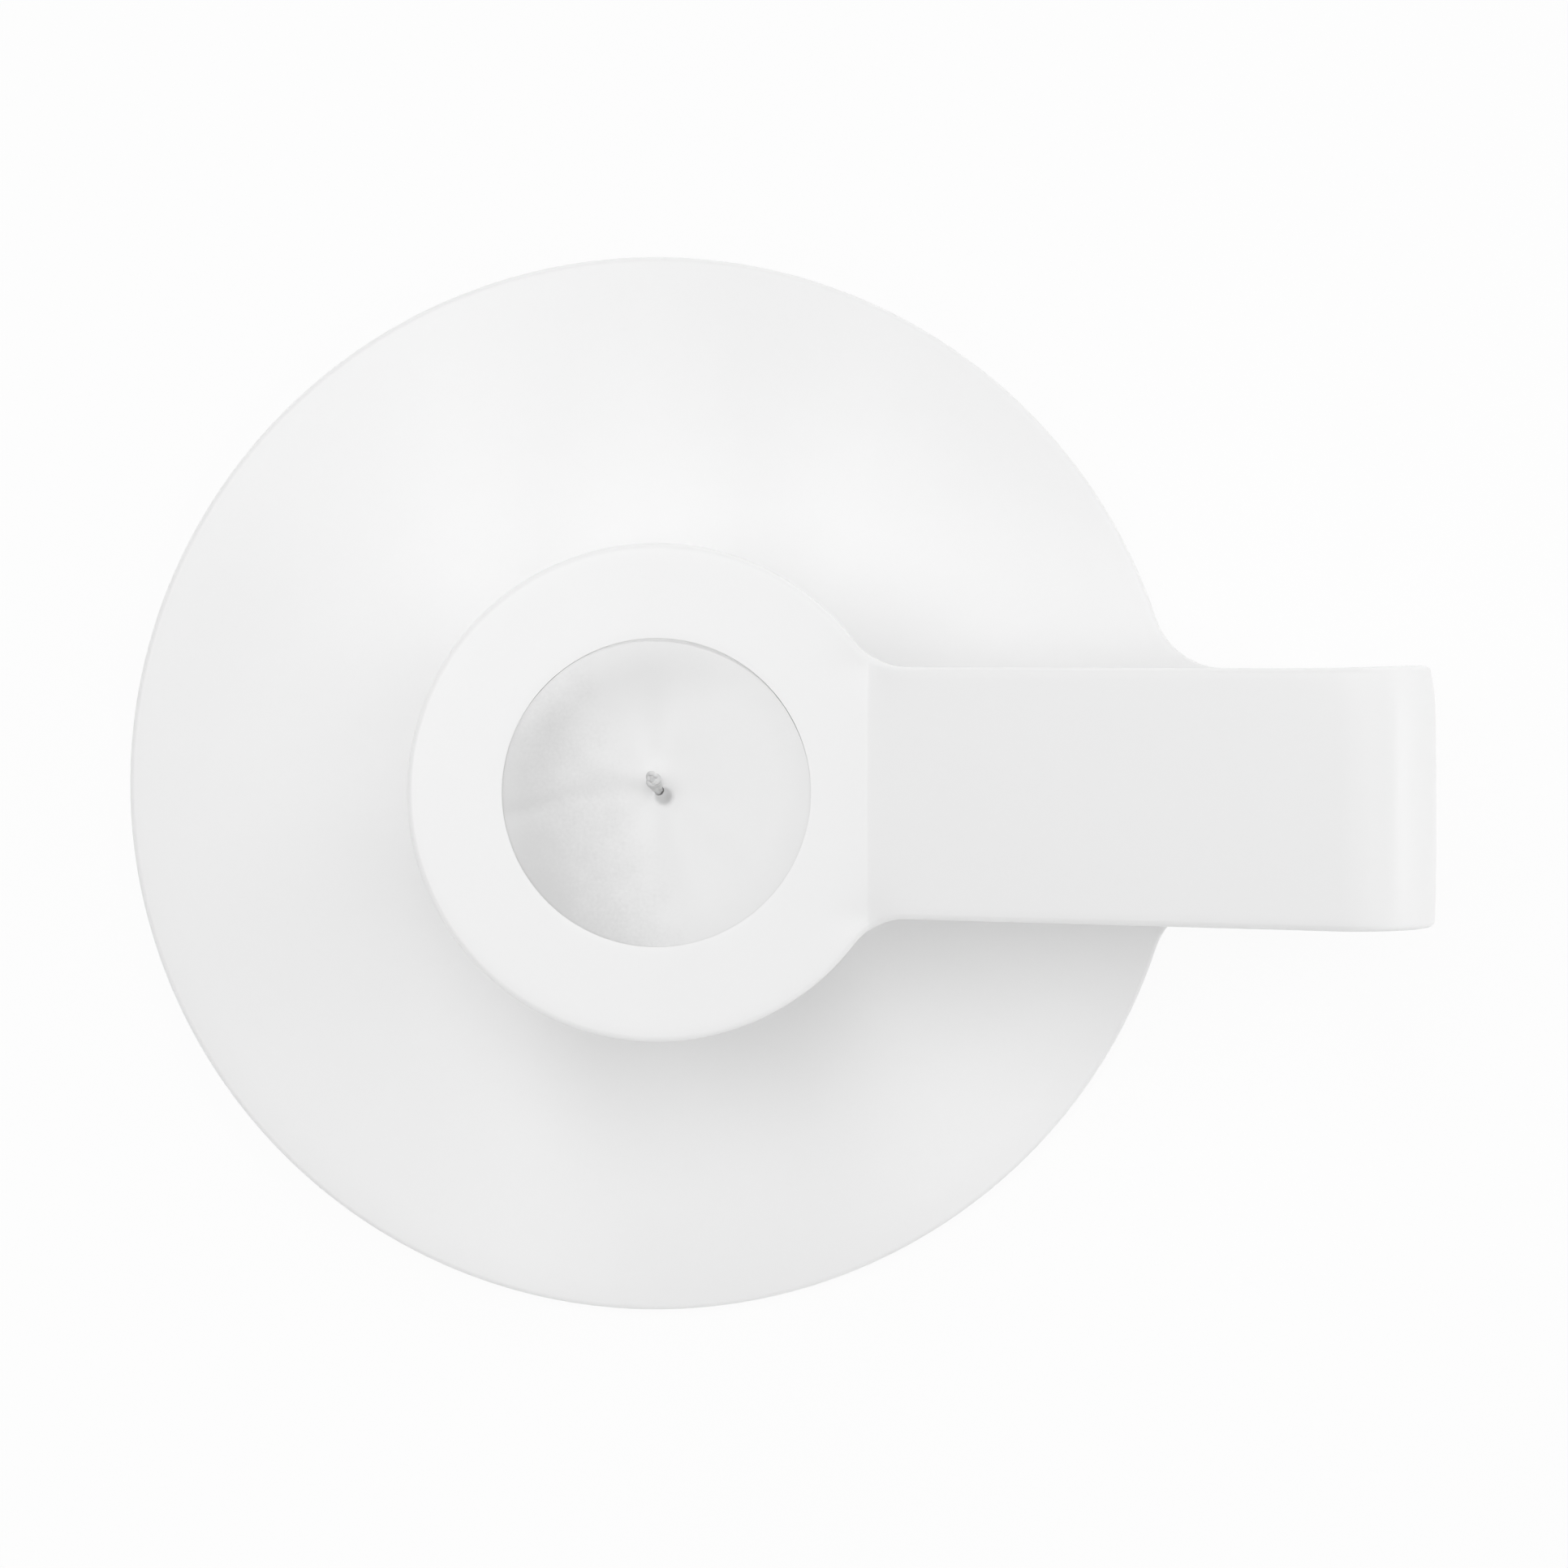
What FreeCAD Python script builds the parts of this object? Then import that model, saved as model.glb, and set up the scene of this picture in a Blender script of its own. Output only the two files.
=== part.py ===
import FreeCAD, Part
import math
import os

import Sketcher

# A candle plate with a finger loop, folded from one laser-cut steel sheet.
# A round plate runs out into a tongue. The tongue is bent up as a riser and back over as a
# sloping strap, which ends in a flat ring above the middle of the plate. A short candle
# stands on the plate and is held upright by the ring.
# Frame: +Z up, +X towards the finger loop. The origin is on the resting plane, under the
# centre of the plate and of the ring. Lengths are in millimetres and angles in degrees.

SIZES = [
    # The folded sheet.
    ("sheet_thickness", 2.0),
    ("edge_round", 0.8),
    ("plate_diameter", 150.0),
    ("plate_fillet_radius", 10.4),
    ("strap_width", 32.8),
    ("strap_slope_angle", 19.0),
    ("handle_overhang", 23.9),
    ("bend_inner_radius", 8.0),
    ("ring_height", 43.0),
    ("ring_diameter", 65.0),
    ("ring_fillet_radius", 9.0),
    ("crease_reach", 27.3),
    ("crease_inner_radius", 1.0),
    ("candle_hole_diameter", 40.2),
    # The pad glued under the plate.
    ("pad_thickness", 1.0),
    ("pad_margin", 8.0),
    ("pad_edge_chamfer", 0.3),
    # The candle, which slides in the ring.
    ("candle_clearance", 0.35),
    ("candle_seat_gap", 0.1),
    ("candle_rim_drop", 1.2),
    ("candle_base_chamfer", 0.8),
    ("candle_shoulder_radius", 1.5),
    ("candle_dome_rise", 1.2),
    # The wick, its metal tab and the bores that they are cast into.
    ("wick_diameter", 1.5),
    ("wick_clearance", 0.03),
    ("wick_bend_radius", 8.0),
    ("wick_lean_angle", 24.0),
    ("wick_end_length", 3.4),
    ("wick_lean_azimuth", 117.0),
    ("wick_end_round", 0.3),
    ("tab_diameter", 14.0),
    ("tab_thickness", 0.3),
    ("tab_neck_wall", 0.35),
    ("tab_neck_height", 3.0),
    # How far a cut runs past the solid that it cuts.
    ("cut_overrun", 5.0),
]

# Point numbers of a sketch line or arc.
START, END, CENTRE = 1, 2, 3
# Numbers of a sketch's own origin and upright axis.
ORIGIN, UPRIGHT = -1, -2

doc = FreeCAD.newDocument("candle_plate")


def fill_sheet():
    """Write the driving dimensions into the spreadsheet, each under its name."""
    sheet = doc.addObject("Spreadsheet::Sheet", "Sizes")
    for row, (name, number) in enumerate(SIZES, start=1):
        sheet.set(f"A{row}", name)
        sheet.set(f"B{row}", str(number))
        sheet.setAlias(f"B{row}", name)
    doc.recompute()
    return {name: float(getattr(sheet, name)) for name, _ in SIZES}


size = fill_sheet()


def sized(text):
    """Turn a formula of size names into one that reads the spreadsheet."""
    for name in sorted(size, key=len, reverse=True):
        text = text.replace("{" + name + "}", "Sizes." + name)
    return text


# Heights that several pieces share, as formulas and as numbers.
PLATE_TOP = "({pad_thickness} + {sheet_thickness})"
RING_TOP = "(" + PLATE_TOP + " + {ring_height})"
CANDLE_BASE = "(" + PLATE_TOP + " + {candle_seat_gap})"
BEND_OUTER = "({bend_inner_radius} + {sheet_thickness})"
HANDLE_REACH = "({plate_diameter} / 2 + {handle_overhang})"
CANDLE_RADIUS = "({candle_hole_diameter} / 2 - {candle_clearance})"
WICK_BORE = "({wick_diameter} / 2 + {wick_clearance})"
CANDLE_RIM = "(" + RING_TOP + " - {candle_rim_drop})"
CANDLE_CROWN = "(" + CANDLE_RIM + " + {candle_dome_rise})"
TAB_TOP = "(" + CANDLE_BASE + " + {tab_thickness})"
NECK_TOP = "(" + TAB_TOP + " + {tab_neck_height})"
NECK_RADIUS = "(" + WICK_BORE + " + {tab_neck_wall})"


def number(text):
    """Work out the same formula in numbers, for a sketch's first guess."""
    terms = text
    for name in sorted(size, key=len, reverse=True):
        terms = terms.replace("{" + name + "}", repr(size[name]))
    return float(FreeCAD.Units.Quantity(terms).Value)


def new_body(label):
    """Make an empty body whose label names its piece."""
    body = doc.addObject("PartDesign::Body", label)
    body.Label = label
    return body


def origin_feature(body, role):
    """Find one of the body's own origin planes or axes."""
    return [item for item in body.Origin.OriginFeatures if item.Role == role][0]


def new_sketch(body, name, plane, height=None):
    """Attach a sketch to a plane of the body's origin, raised by a formula if one is given."""
    sketch = body.newObject("Sketcher::SketchObject", name)
    sketch.AttachmentSupport = [(origin_feature(body, plane), "")]
    sketch.MapMode = "FlatFace"
    if height is not None:
        sketch.AttachmentOffset.Base.z = number(height)
        sketch.setExpression("AttachmentOffset.Base.z", sized(height))
    return sketch


def line(sketch, start, end):
    """Add a line between two (x, y) points."""
    ends = [FreeCAD.Vector(*start, 0), FreeCAD.Vector(*end, 0)]
    return sketch.addGeometry(Part.LineSegment(*ends), False)


def arc(sketch, centre, radius, start_angle, end_angle):
    """Add an arc that runs anticlockwise between two angles in degrees."""
    circle = Part.Circle(FreeCAD.Vector(*centre, 0), FreeCAD.Vector(0, 0, 1), radius)
    angles = [math.radians(start_angle), math.radians(end_angle)]
    return sketch.addGeometry(Part.ArcOfCircle(circle, *angles), False)


def circle(sketch, name, diameter):
    """Add a circle about the sketch's origin, with its diameter as a formula."""
    shape = Part.Circle(FreeCAD.Vector(0, 0, 0), FreeCAD.Vector(0, 0, 1), number(diameter) / 2)
    index = sketch.addGeometry(shape, False)
    join(sketch, (index, CENTRE), (ORIGIN, START))
    bind(sketch, name, diameter, "Diameter", index)


def join(sketch, first, second, smooth=False):
    """Join two points, each a (piece, point) pair, smoothly where the outline runs on."""
    kind = "Tangent" if smooth else "Coincident"
    sketch.addConstraint(Sketcher.Constraint(kind, *first, *second))


def bind(sketch, name, formula, kind, *points):
    """Set one dimension of a sketch from a formula of the sheet's sizes."""
    value = number(formula)
    if kind == "Angle":
        value = math.radians(value)
    index = sketch.addConstraint(Sketcher.Constraint(kind, *points, value))
    sketch.renameConstraint(index, name)
    sketch.setExpression("Constraints." + name, sized(formula))


def level(sketch, *lines):
    """Keep lines along the sketch's x axis."""
    for index in lines:
        sketch.addConstraint(Sketcher.Constraint("Horizontal", index))


def upright(sketch, *lines):
    """Keep lines along the sketch's y axis."""
    for index in lines:
        sketch.addConstraint(Sketcher.Constraint("Vertical", index))


def polar(centre, radius, angle):
    """Give the point at an angle in degrees on a circle."""
    turn = math.radians(angle)
    return centre[0] + radius * math.cos(turn), centre[1] + radius * math.sin(turn)


def fold_profile(sketch):
    """Draw the sheet seen from the side, from under the plate's centre to past the ring.

    The outer chain is the ring's top, the strap's top, the riser's outside and the tongue's
    underside. The inner chain lies one sheet thickness inside it, round the same centres.
    """
    thick = size["sheet_thickness"]
    inner = size["bend_inner_radius"]
    outer = inner + thick
    fold = size["crease_inner_radius"]
    slope = size["strap_slope_angle"]
    reach = number(HANDLE_REACH)
    floor = size["pad_thickness"]
    top = number(RING_TOP)
    far = -(size["ring_diameter"] / 2 + size["cut_overrun"])

    crease = (size["crease_reach"], top + fold)
    strap_start = polar(crease, fold, slope - 90)
    run = reach - outer - strap_start[0]
    rise = (run * math.sin(math.radians(slope)) - outer) / math.cos(math.radians(slope))
    bend = (reach - outer, strap_start[1] + rise)
    foot = (reach - outer, floor + outer)

    ring_top = line(sketch, (far, top), (crease[0], top))
    crease_top = arc(sketch, crease, fold, -90, slope - 90)
    strap_top = line(sketch, strap_start, polar(bend, outer, 90 + slope))
    bend_outer = arc(sketch, bend, outer, 0, 90 + slope)
    riser_outer = line(sketch, (reach, bend[1]), (reach, foot[1]))
    foot_outer = arc(sketch, foot, outer, -90, 0)
    tongue_under = line(sketch, (foot[0], floor), (0, floor))
    root = line(sketch, (0, floor), (0, floor + thick))
    tongue_top = line(sketch, (0, floor + thick), (foot[0], floor + thick))
    foot_inner = arc(sketch, foot, inner, -90, 0)
    riser_inner = line(sketch, (reach - thick, foot[1]), (reach - thick, bend[1]))
    bend_inner = arc(sketch, bend, inner, 0, 90 + slope)
    strap_under = line(sketch, polar(bend, inner, 90 + slope), polar(crease, fold + thick, slope - 90))
    crease_under = arc(sketch, crease, fold + thick, -90, slope - 90)
    ring_under = line(sketch, (crease[0], top - thick), (far, top - thick))
    ring_end = line(sketch, (far, top - thick), (far, top))

    smooth_joints = [
        ((ring_top, END), (crease_top, START)),
        ((crease_top, END), (strap_top, START)),
        ((strap_top, END), (bend_outer, END)),
        ((bend_outer, START), (riser_outer, START)),
        ((riser_outer, END), (foot_outer, END)),
        ((foot_outer, START), (tongue_under, START)),
        ((tongue_top, END), (foot_inner, START)),
        ((foot_inner, END), (riser_inner, START)),
        ((riser_inner, END), (bend_inner, START)),
        ((bend_inner, END), (strap_under, START)),
        ((strap_under, END), (crease_under, END)),
        ((crease_under, START), (ring_under, START)),
    ]
    for first, second in smooth_joints:
        join(sketch, first, second, smooth=True)
    corners = [
        ((tongue_under, END), (root, START)),
        ((root, END), (tongue_top, START)),
        ((ring_under, END), (ring_end, START)),
        ((ring_end, END), (ring_top, START)),
    ]
    shared_centres = [
        ((bend_outer, CENTRE), (bend_inner, CENTRE)),
        ((foot_outer, CENTRE), (foot_inner, CENTRE)),
        ((crease_top, CENTRE), (crease_under, CENTRE)),
    ]
    for first, second in corners + shared_centres:
        join(sketch, first, second)
    level(sketch, ring_top, tongue_under, tongue_top, ring_under)
    upright(sketch, riser_outer, root, riser_inner, ring_end)
    sketch.addConstraint(Sketcher.Constraint("PointOnObject", root, START, UPRIGHT))
    sketch.addConstraint(Sketcher.Constraint("Equal", bend_inner, foot_inner))

    bind(sketch, "bend_radius", "{bend_inner_radius}", "Radius", bend_inner)
    bind(sketch, "crease_radius", "{crease_inner_radius}", "Radius", crease_top)
    bind(sketch, "plate_gauge", "{sheet_thickness}", "Distance", root)
    bind(sketch, "ring_gauge", "{sheet_thickness}", "Distance", ring_end)
    bind(sketch, "floor", "{pad_thickness}", "DistanceY", ORIGIN, START, root, START)
    bind(sketch, "ring_top", RING_TOP, "DistanceY", ORIGIN, START, ring_top, START)
    bind(sketch, "reach", HANDLE_REACH, "DistanceX", ORIGIN, START, riser_outer, START)
    bind(sketch, "crease", "{crease_reach}", "DistanceX", ORIGIN, START, crease_top, CENTRE)
    past_ring = "{ring_diameter} / 2 + {cut_overrun}"
    bind(sketch, "past_ring", past_ring, "DistanceX", ring_top, START, ORIGIN, START)
    bind(sketch, "slope", "{strap_slope_angle}", "Angle", strap_top)


def disc_and_tongue(sketch, diameter, fillet, reach):
    """Draw a disc about the origin that runs out along +X into a tongue of the strap's width.

    A concave fillet on each side is tangent to the disc and to the tongue's edge.
    """
    radius = number(diameter) / 2
    blend = number(fillet)
    half = size["strap_width"] / 2
    end = number(reach)
    start = math.sqrt((radius + blend) ** 2 - (half + blend) ** 2)
    turn = math.degrees(math.atan2(half + blend, start))

    disc = arc(sketch, (0, 0), radius, turn, 360 - turn)
    fillet_left = arc(sketch, (start, half + blend), blend, 180 + turn, 270)
    edge_left = line(sketch, (start, half), (end, half))
    tip = line(sketch, (end, half), (end, -half))
    edge_right = line(sketch, (end, -half), (start, -half))
    fillet_right = arc(sketch, (start, -half - blend), blend, 90, 180 - turn)

    join(sketch, (disc, CENTRE), (ORIGIN, START))
    join(sketch, (disc, START), (fillet_left, START), smooth=True)
    join(sketch, (fillet_left, END), (edge_left, START), smooth=True)
    join(sketch, (edge_left, END), (tip, START))
    join(sketch, (tip, END), (edge_right, START))
    join(sketch, (edge_right, END), (fillet_right, START), smooth=True)
    join(sketch, (fillet_right, END), (disc, END), smooth=True)
    level(sketch, edge_left, edge_right)
    upright(sketch, tip)
    sketch.addConstraint(Sketcher.Constraint("Equal", fillet_left, fillet_right))
    bind(sketch, "diameter", diameter + " / 2", "Radius", disc)
    bind(sketch, "fillet", fillet, "Radius", fillet_left)
    bind(sketch, "width", "{strap_width}", "DistanceY", tip, END, tip, START)
    bind(sketch, "half_width", "{strap_width} / 2", "DistanceY", ORIGIN, START, tip, START)
    bind(sketch, "reach", reach, "DistanceX", ORIGIN, START, tip, START)


def rectangle(sketch, left, right, half_width):
    """Draw a rectangle that is centred on the x axis, between two formulas along it."""
    low, high, half = -number(left), number(right), number(half_width)
    corners = [(low, -half), (high, -half), (high, half), (low, half)]
    sides = [line(sketch, corners[k], corners[(k + 1) % 4]) for k in range(4)]
    for k in range(4):
        join(sketch, (sides[k], END), (sides[(k + 1) % 4], START))
    level(sketch, sides[0], sides[2])
    upright(sketch, sides[1], sides[3])
    bind(sketch, "frame_left", left, "DistanceX", sides[0], START, ORIGIN, START)
    bind(sketch, "frame_right", right, "DistanceX", ORIGIN, START, sides[0], END)
    bind(sketch, "frame_low", half_width, "DistanceY", sides[0], START, ORIGIN, START)
    bind(sketch, "frame_high", half_width, "DistanceY", ORIGIN, START, sides[2], START)


def pad(body, name, sketch, length, midplane=False):
    """Push a sketch out by a formula, to one side or half to each."""
    feature = body.newObject("PartDesign::Pad", name)
    feature.Profile = sketch
    feature.Midplane = midplane
    feature.Length = number(length)
    feature.setExpression("Length", sized(length))
    doc.recompute()
    return feature


def cut_through(body, name, sketch):
    """Cut a sketch's area out of the whole body, above and below its plane."""
    before = body.Shape.Volume
    feature = body.newObject("PartDesign::Pocket", name)
    feature.Profile = sketch
    feature.Type = "ThroughAll"
    feature.Midplane = True
    doc.recompute()
    if not body.Shape.Volume < before:
        raise RuntimeError(name + " cuts nothing")
    return feature


def is_cut_wall(face):
    """Tell a wall left by the cutting of the flat sheet from the sheet's own two skins."""
    surface = face.Surface
    if isinstance(surface, Part.Plane):
        return abs(surface.Axis.y) > 0.99
    if isinstance(surface, Part.Cylinder):
        return abs(surface.Axis.z) > 0.99
    return False


def wall_rims(shape):
    """Name the edges between a cut wall and a skin of the sheet."""
    walls = {}
    for face in shape.Faces:
        for edge in face.Edges:
            walls.setdefault(edge.hashCode(), []).append(is_cut_wall(face))
    names = []
    for index, edge in enumerate(shape.Edges, start=1):
        if walls[edge.hashCode()].count(True) == 1:
            names.append("Edge" + str(index))
    return names


def round_edges(body, name, base, edges, radius):
    """Round the named edges of the body's last feature."""
    feature = body.newObject("PartDesign::Fillet", name)
    feature.Base = (base, edges)
    feature.Radius = number(radius)
    feature.setExpression("Radius", sized(radius))
    doc.recompute()
    return feature


def make_holder_sheet():
    """The one metal piece: plate, tongue, riser, strap and ring."""
    body = new_body("holder_sheet")
    side = new_sketch(body, "side_view", "XZ_Plane")
    fold_profile(side)
    width = "{ring_diameter} + 2 * {cut_overrun}"
    pad(body, "fold", side, width, midplane=True)

    strap = new_sketch(body, "ring_and_strap_outline", "XY_Plane")
    disc_and_tongue(strap, "{ring_diameter}", "{ring_fillet_radius}", HANDLE_REACH + " + {cut_overrun}")
    frame_left = "{ring_diameter} / 2 + 2 * {cut_overrun}"
    frame_right = HANDLE_REACH + " + 2 * {cut_overrun}"
    rectangle(strap, frame_left, frame_right, "{ring_diameter} / 2 + 2 * {cut_overrun}")
    cut_through(body, "trim_to_outline", strap)

    hole = new_sketch(body, "candle_hole_outline", "XY_Plane")
    circle(hole, "hole", "{candle_hole_diameter}")
    cut_through(body, "candle_hole", hole)

    plate = new_sketch(body, "plate_outline", "XY_Plane", "{pad_thickness}")
    tongue_end = HANDLE_REACH + " - " + BEND_OUTER
    disc_and_tongue(plate, "{plate_diameter}", "{plate_fillet_radius}", tongue_end)
    plate_pad = pad(body, "plate", plate, "{sheet_thickness}")
    round_edges(body, "rounded_edges", plate_pad, wall_rims(plate_pad.Shape), "{edge_round}")
    return body


def make_foot_pad():
    """The round pad glued under the plate."""
    body = new_body("foot_pad")
    outline = new_sketch(body, "pad_outline", "XY_Plane")
    circle(outline, "disc", "{plate_diameter} - 2 * {pad_margin}")
    disc = pad(body, "pad", outline, "{pad_thickness}")
    rim = [index for index, edge in enumerate(disc.Shape.Edges, start=1)
           if abs(edge.BoundBox.ZMax) < size["pad_thickness"] / 2]
    bevel = body.newObject("PartDesign::Chamfer", "bevelled_rim")
    bevel.Base = (disc, ["Edge" + str(index) for index in rim])
    bevel.Size = size["pad_edge_chamfer"]
    bevel.setExpression("Size", sized("{pad_edge_chamfer}"))
    doc.recompute()
    return body


def revolve(body, name, sketch):
    """Turn a profile once round the upright axis."""
    feature = body.newObject("PartDesign::Revolution", name)
    feature.Profile = sketch
    feature.ReferenceAxis = (sketch, ["V_Axis"])
    feature.Angle = 360
    doc.recompute()
    return feature


def chain(sketch, points):
    """Draw a closed outline of upright and level lines through (x, y) formulas."""
    places = [(number(x), number(y)) for x, y in points]
    sides = []
    for k, place in enumerate(places):
        sides.append(line(sketch, place, places[(k + 1) % len(places)]))
    for k, side in enumerate(sides):
        join(sketch, (side, END), (sides[(k + 1) % len(sides)], START))
        bind(sketch, "x" + str(k), points[k][0], "DistanceX", ORIGIN, START, side, START)
        bind(sketch, "y" + str(k), points[k][1], "DistanceY", ORIGIN, START, side, START)


def make_wick_tab():
    """The tin tab that holds the wick at the candle's base: a thin disc with a crimped neck."""
    body = new_body("wick_tab")
    outline = new_sketch(body, "tab_section", "XZ_Plane")
    rim = "{tab_diameter} / 2"
    chain(outline, [
        (WICK_BORE, CANDLE_BASE),
        (rim, CANDLE_BASE),
        (rim, TAB_TOP),
        (NECK_RADIUS, TAB_TOP),
        (NECK_RADIUS, NECK_TOP),
        (WICK_BORE, NECK_TOP),
    ])
    revolve(body, "tab", outline)
    return body


def make_candle_wax():
    """The wax: a short cylinder with a soft shoulder and a low dome, cast round wick and tab."""
    body = new_body("candle_wax")
    gap = "{wick_clearance}"
    shoulder = size["candle_shoulder_radius"]
    bore, radius = number(WICK_BORE), number(CANDLE_RADIUS)
    base, crown = number(CANDLE_BASE), number(CANDLE_CROWN)
    chamfer = size["candle_base_chamfer"]
    shoulder_centre = (radius - shoulder, number(CANDLE_RIM) - shoulder)
    lift = crown - shoulder_centre[1]
    dome = (shoulder_centre[0] ** 2 + lift ** 2 - shoulder ** 2) / (2 * (lift - shoulder))
    dome_centre = (0, crown - dome)
    lean = math.degrees(math.atan2(shoulder_centre[1] - dome_centre[1], shoulder_centre[0]))
    mouth = 90 - math.degrees(math.asin(bore / dome))

    section = new_sketch(body, "wax_section", "XZ_Plane")
    neck_wall = number(NECK_RADIUS + " + " + gap)
    neck_roof = number(NECK_TOP + " + " + gap)
    tab_wall = number("{tab_diameter} / 2 + " + gap)
    tab_roof = number(TAB_TOP + " + " + gap)
    underside = line(section, (tab_wall, base), (radius - chamfer, base))
    bevel = line(section, (radius - chamfer, base), (radius, base + chamfer))
    side = line(section, (radius, base + chamfer), (radius, shoulder_centre[1]))
    round_off = arc(section, shoulder_centre, shoulder, 0, lean)
    crown_arc = arc(section, dome_centre, dome, lean, mouth)
    wick_wall = line(section, polar(dome_centre, dome, mouth), (bore, neck_roof))
    neck_top = line(section, (bore, neck_roof), (neck_wall, neck_roof))
    neck_side = line(section, (neck_wall, neck_roof), (neck_wall, tab_roof))
    tab_top = line(section, (neck_wall, tab_roof), (tab_wall, tab_roof))
    tab_side = line(section, (tab_wall, tab_roof), (tab_wall, base))

    join(section, (underside, END), (bevel, START))
    join(section, (bevel, END), (side, START))
    join(section, (side, END), (round_off, START), smooth=True)
    join(section, (round_off, END), (crown_arc, START), smooth=True)
    join(section, (crown_arc, END), (wick_wall, START))
    lower = [wick_wall, neck_top, neck_side, tab_top, tab_side, underside]
    for first, second in zip(lower, lower[1:]):
        join(section, (first, END), (second, START))
    level(section, underside, neck_top, tab_top)
    upright(section, side, wick_wall, neck_side, tab_side)
    section.addConstraint(Sketcher.Constraint("PointOnObject", crown_arc, CENTRE, UPRIGHT))

    across = ("DistanceX", ORIGIN, START)
    up = ("DistanceY", ORIGIN, START)
    bind(section, "base", CANDLE_BASE, *up, underside, START)
    bind(section, "tab_wall", "{tab_diameter} / 2 + " + gap, *across, tab_side, START)
    bind(section, "tab_roof", TAB_TOP + " + " + gap, *up, tab_top, START)
    bind(section, "neck_wall", NECK_RADIUS + " + " + gap, *across, neck_side, START)
    bind(section, "neck_roof", NECK_TOP + " + " + gap, *up, neck_top, START)
    bind(section, "bore", WICK_BORE, *across, wick_wall, START)
    bind(section, "radius", CANDLE_RADIUS, *across, side, START)
    bind(section, "base_inset", CANDLE_RADIUS + " - {candle_base_chamfer}", *across, bevel, START)
    bind(section, "base_bevel", CANDLE_BASE + " + {candle_base_chamfer}", *up, bevel, END)
    bind(section, "shoulder", "{candle_shoulder_radius}", "Radius", round_off)
    rim = CANDLE_RIM + " - {candle_shoulder_radius}"
    bind(section, "rim", rim, *up, round_off, CENTRE)
    fall = crown - polar(dome_centre, dome, mouth)[1]
    print("the dome falls by", round(fall, 4), "mm from its crown to the wick's bore")
    bind_crown(section, crown_arc)
    revolve(body, "wax", section)
    return body


def bind_crown(section, crown_arc):
    """Set the dome's radius from its rise above the shoulder.

    The dome's centre is on the axis and the shoulder's arc touches it from inside, so with
    a the shoulder centre's distance from the axis, s the shoulder's radius and h the rise,
    the radius is (a squared + (s + h) squared - s squared) / (2 h).
    """
    arm = "(" + CANDLE_RADIUS + " - {candle_shoulder_radius})"
    lift = "({candle_shoulder_radius} + {candle_dome_rise})"
    radius = ("(" + arm + "^2 + " + lift + "^2 - {candle_shoulder_radius}^2)"
              " / (2 * {candle_dome_rise})")
    bind(section, "dome", radius, "Radius", crown_arc)


def make_wick():
    """The cotton wick, straight in the wax and leaning over above it."""
    body = new_body("wick")
    base, crown = number(CANDLE_BASE), number(CANDLE_CROWN)
    bend, lean = size["wick_bend_radius"], size["wick_lean_angle"]
    path = new_sketch(body, "wick_path", "XZ_Plane")
    stem = line(path, (0, base), (0, crown))
    curve = arc(path, (bend, crown), bend, 180 - lean, 180)
    tip_start = polar((bend, crown), bend, 180 - lean)
    tip = line(path, tip_start, polar(tip_start, size["wick_end_length"], 90 - lean))
    join(path, (stem, END), (curve, END), smooth=True)
    join(path, (curve, START), (tip, START), smooth=True)
    upright(path, stem)
    path.addConstraint(Sketcher.Constraint("PointOnObject", stem, START, UPRIGHT))
    bind(path, "base", CANDLE_BASE, "DistanceY", ORIGIN, START, stem, START)
    bind(path, "crown", CANDLE_CROWN, "DistanceY", ORIGIN, START, stem, END)
    bind(path, "bend", "{wick_bend_radius}", "Radius", curve)
    bind(path, "tip_length", "{wick_end_length}", "Distance", tip)
    bind(path, "lean", "90 - {wick_lean_angle}", "Angle", tip)

    section = new_sketch(body, "wick_section", "XY_Plane", CANDLE_BASE)
    circle(section, "strand", "{wick_diameter}")
    strand = body.newObject("PartDesign::AdditivePipe", "strand")
    strand.Profile = section
    strand.Spine = path
    doc.recompute()

    highest = max(strand.Shape.Edges, key=lambda edge: edge.CenterOfMass.z)
    names = ["Edge" + str(index) for index, edge in enumerate(strand.Shape.Edges, start=1)
             if edge.isSame(highest)]
    round_edges(body, "trimmed_end", strand, names, "{wick_end_round}")
    body.Placement = FreeCAD.Placement(
        FreeCAD.Vector(0, 0, 0), FreeCAD.Rotation(FreeCAD.Vector(0, 0, 1), size["wick_lean_azimuth"]))
    body.setExpression("Placement.Rotation.Angle", sized("{wick_lean_azimuth}"))
    doc.recompute()
    return body


def check(pieces):
    """Stop if any object of the document failed, or a piece isn't one valid solid."""
    doc.recompute()
    for item in doc.Objects:
        if "Invalid" in item.State or "Error" in item.State:
            raise RuntimeError(item.Label + " failed: " + str(item.State))
    for piece in pieces:
        shape = piece.Shape
        if shape.isNull() or not shape.isValid() or len(shape.Solids) != 1:
            raise RuntimeError(piece.Label + " isn't one valid solid")


def write(pieces):
    """Write one STEP file for each piece, under its label."""
    os.makedirs("parts", exist_ok=True)
    for piece in pieces:
        piece.Shape.exportStep("parts/" + piece.Label + ".step")
        box = piece.Shape.BoundBox
        low = [round(v, 2) for v in (box.XMin, box.YMin, box.ZMin)]
        high = [round(v, 2) for v in (box.XMax, box.YMax, box.ZMax)]
        print(piece.Label, round(piece.Shape.Volume, 1), "mm3", low, high)


pieces = [
    make_holder_sheet(),
    make_foot_pad(),
    make_candle_wax(),
    make_wick(),
    make_wick_tab(),
]
check(pieces)
write(pieces)
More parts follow.
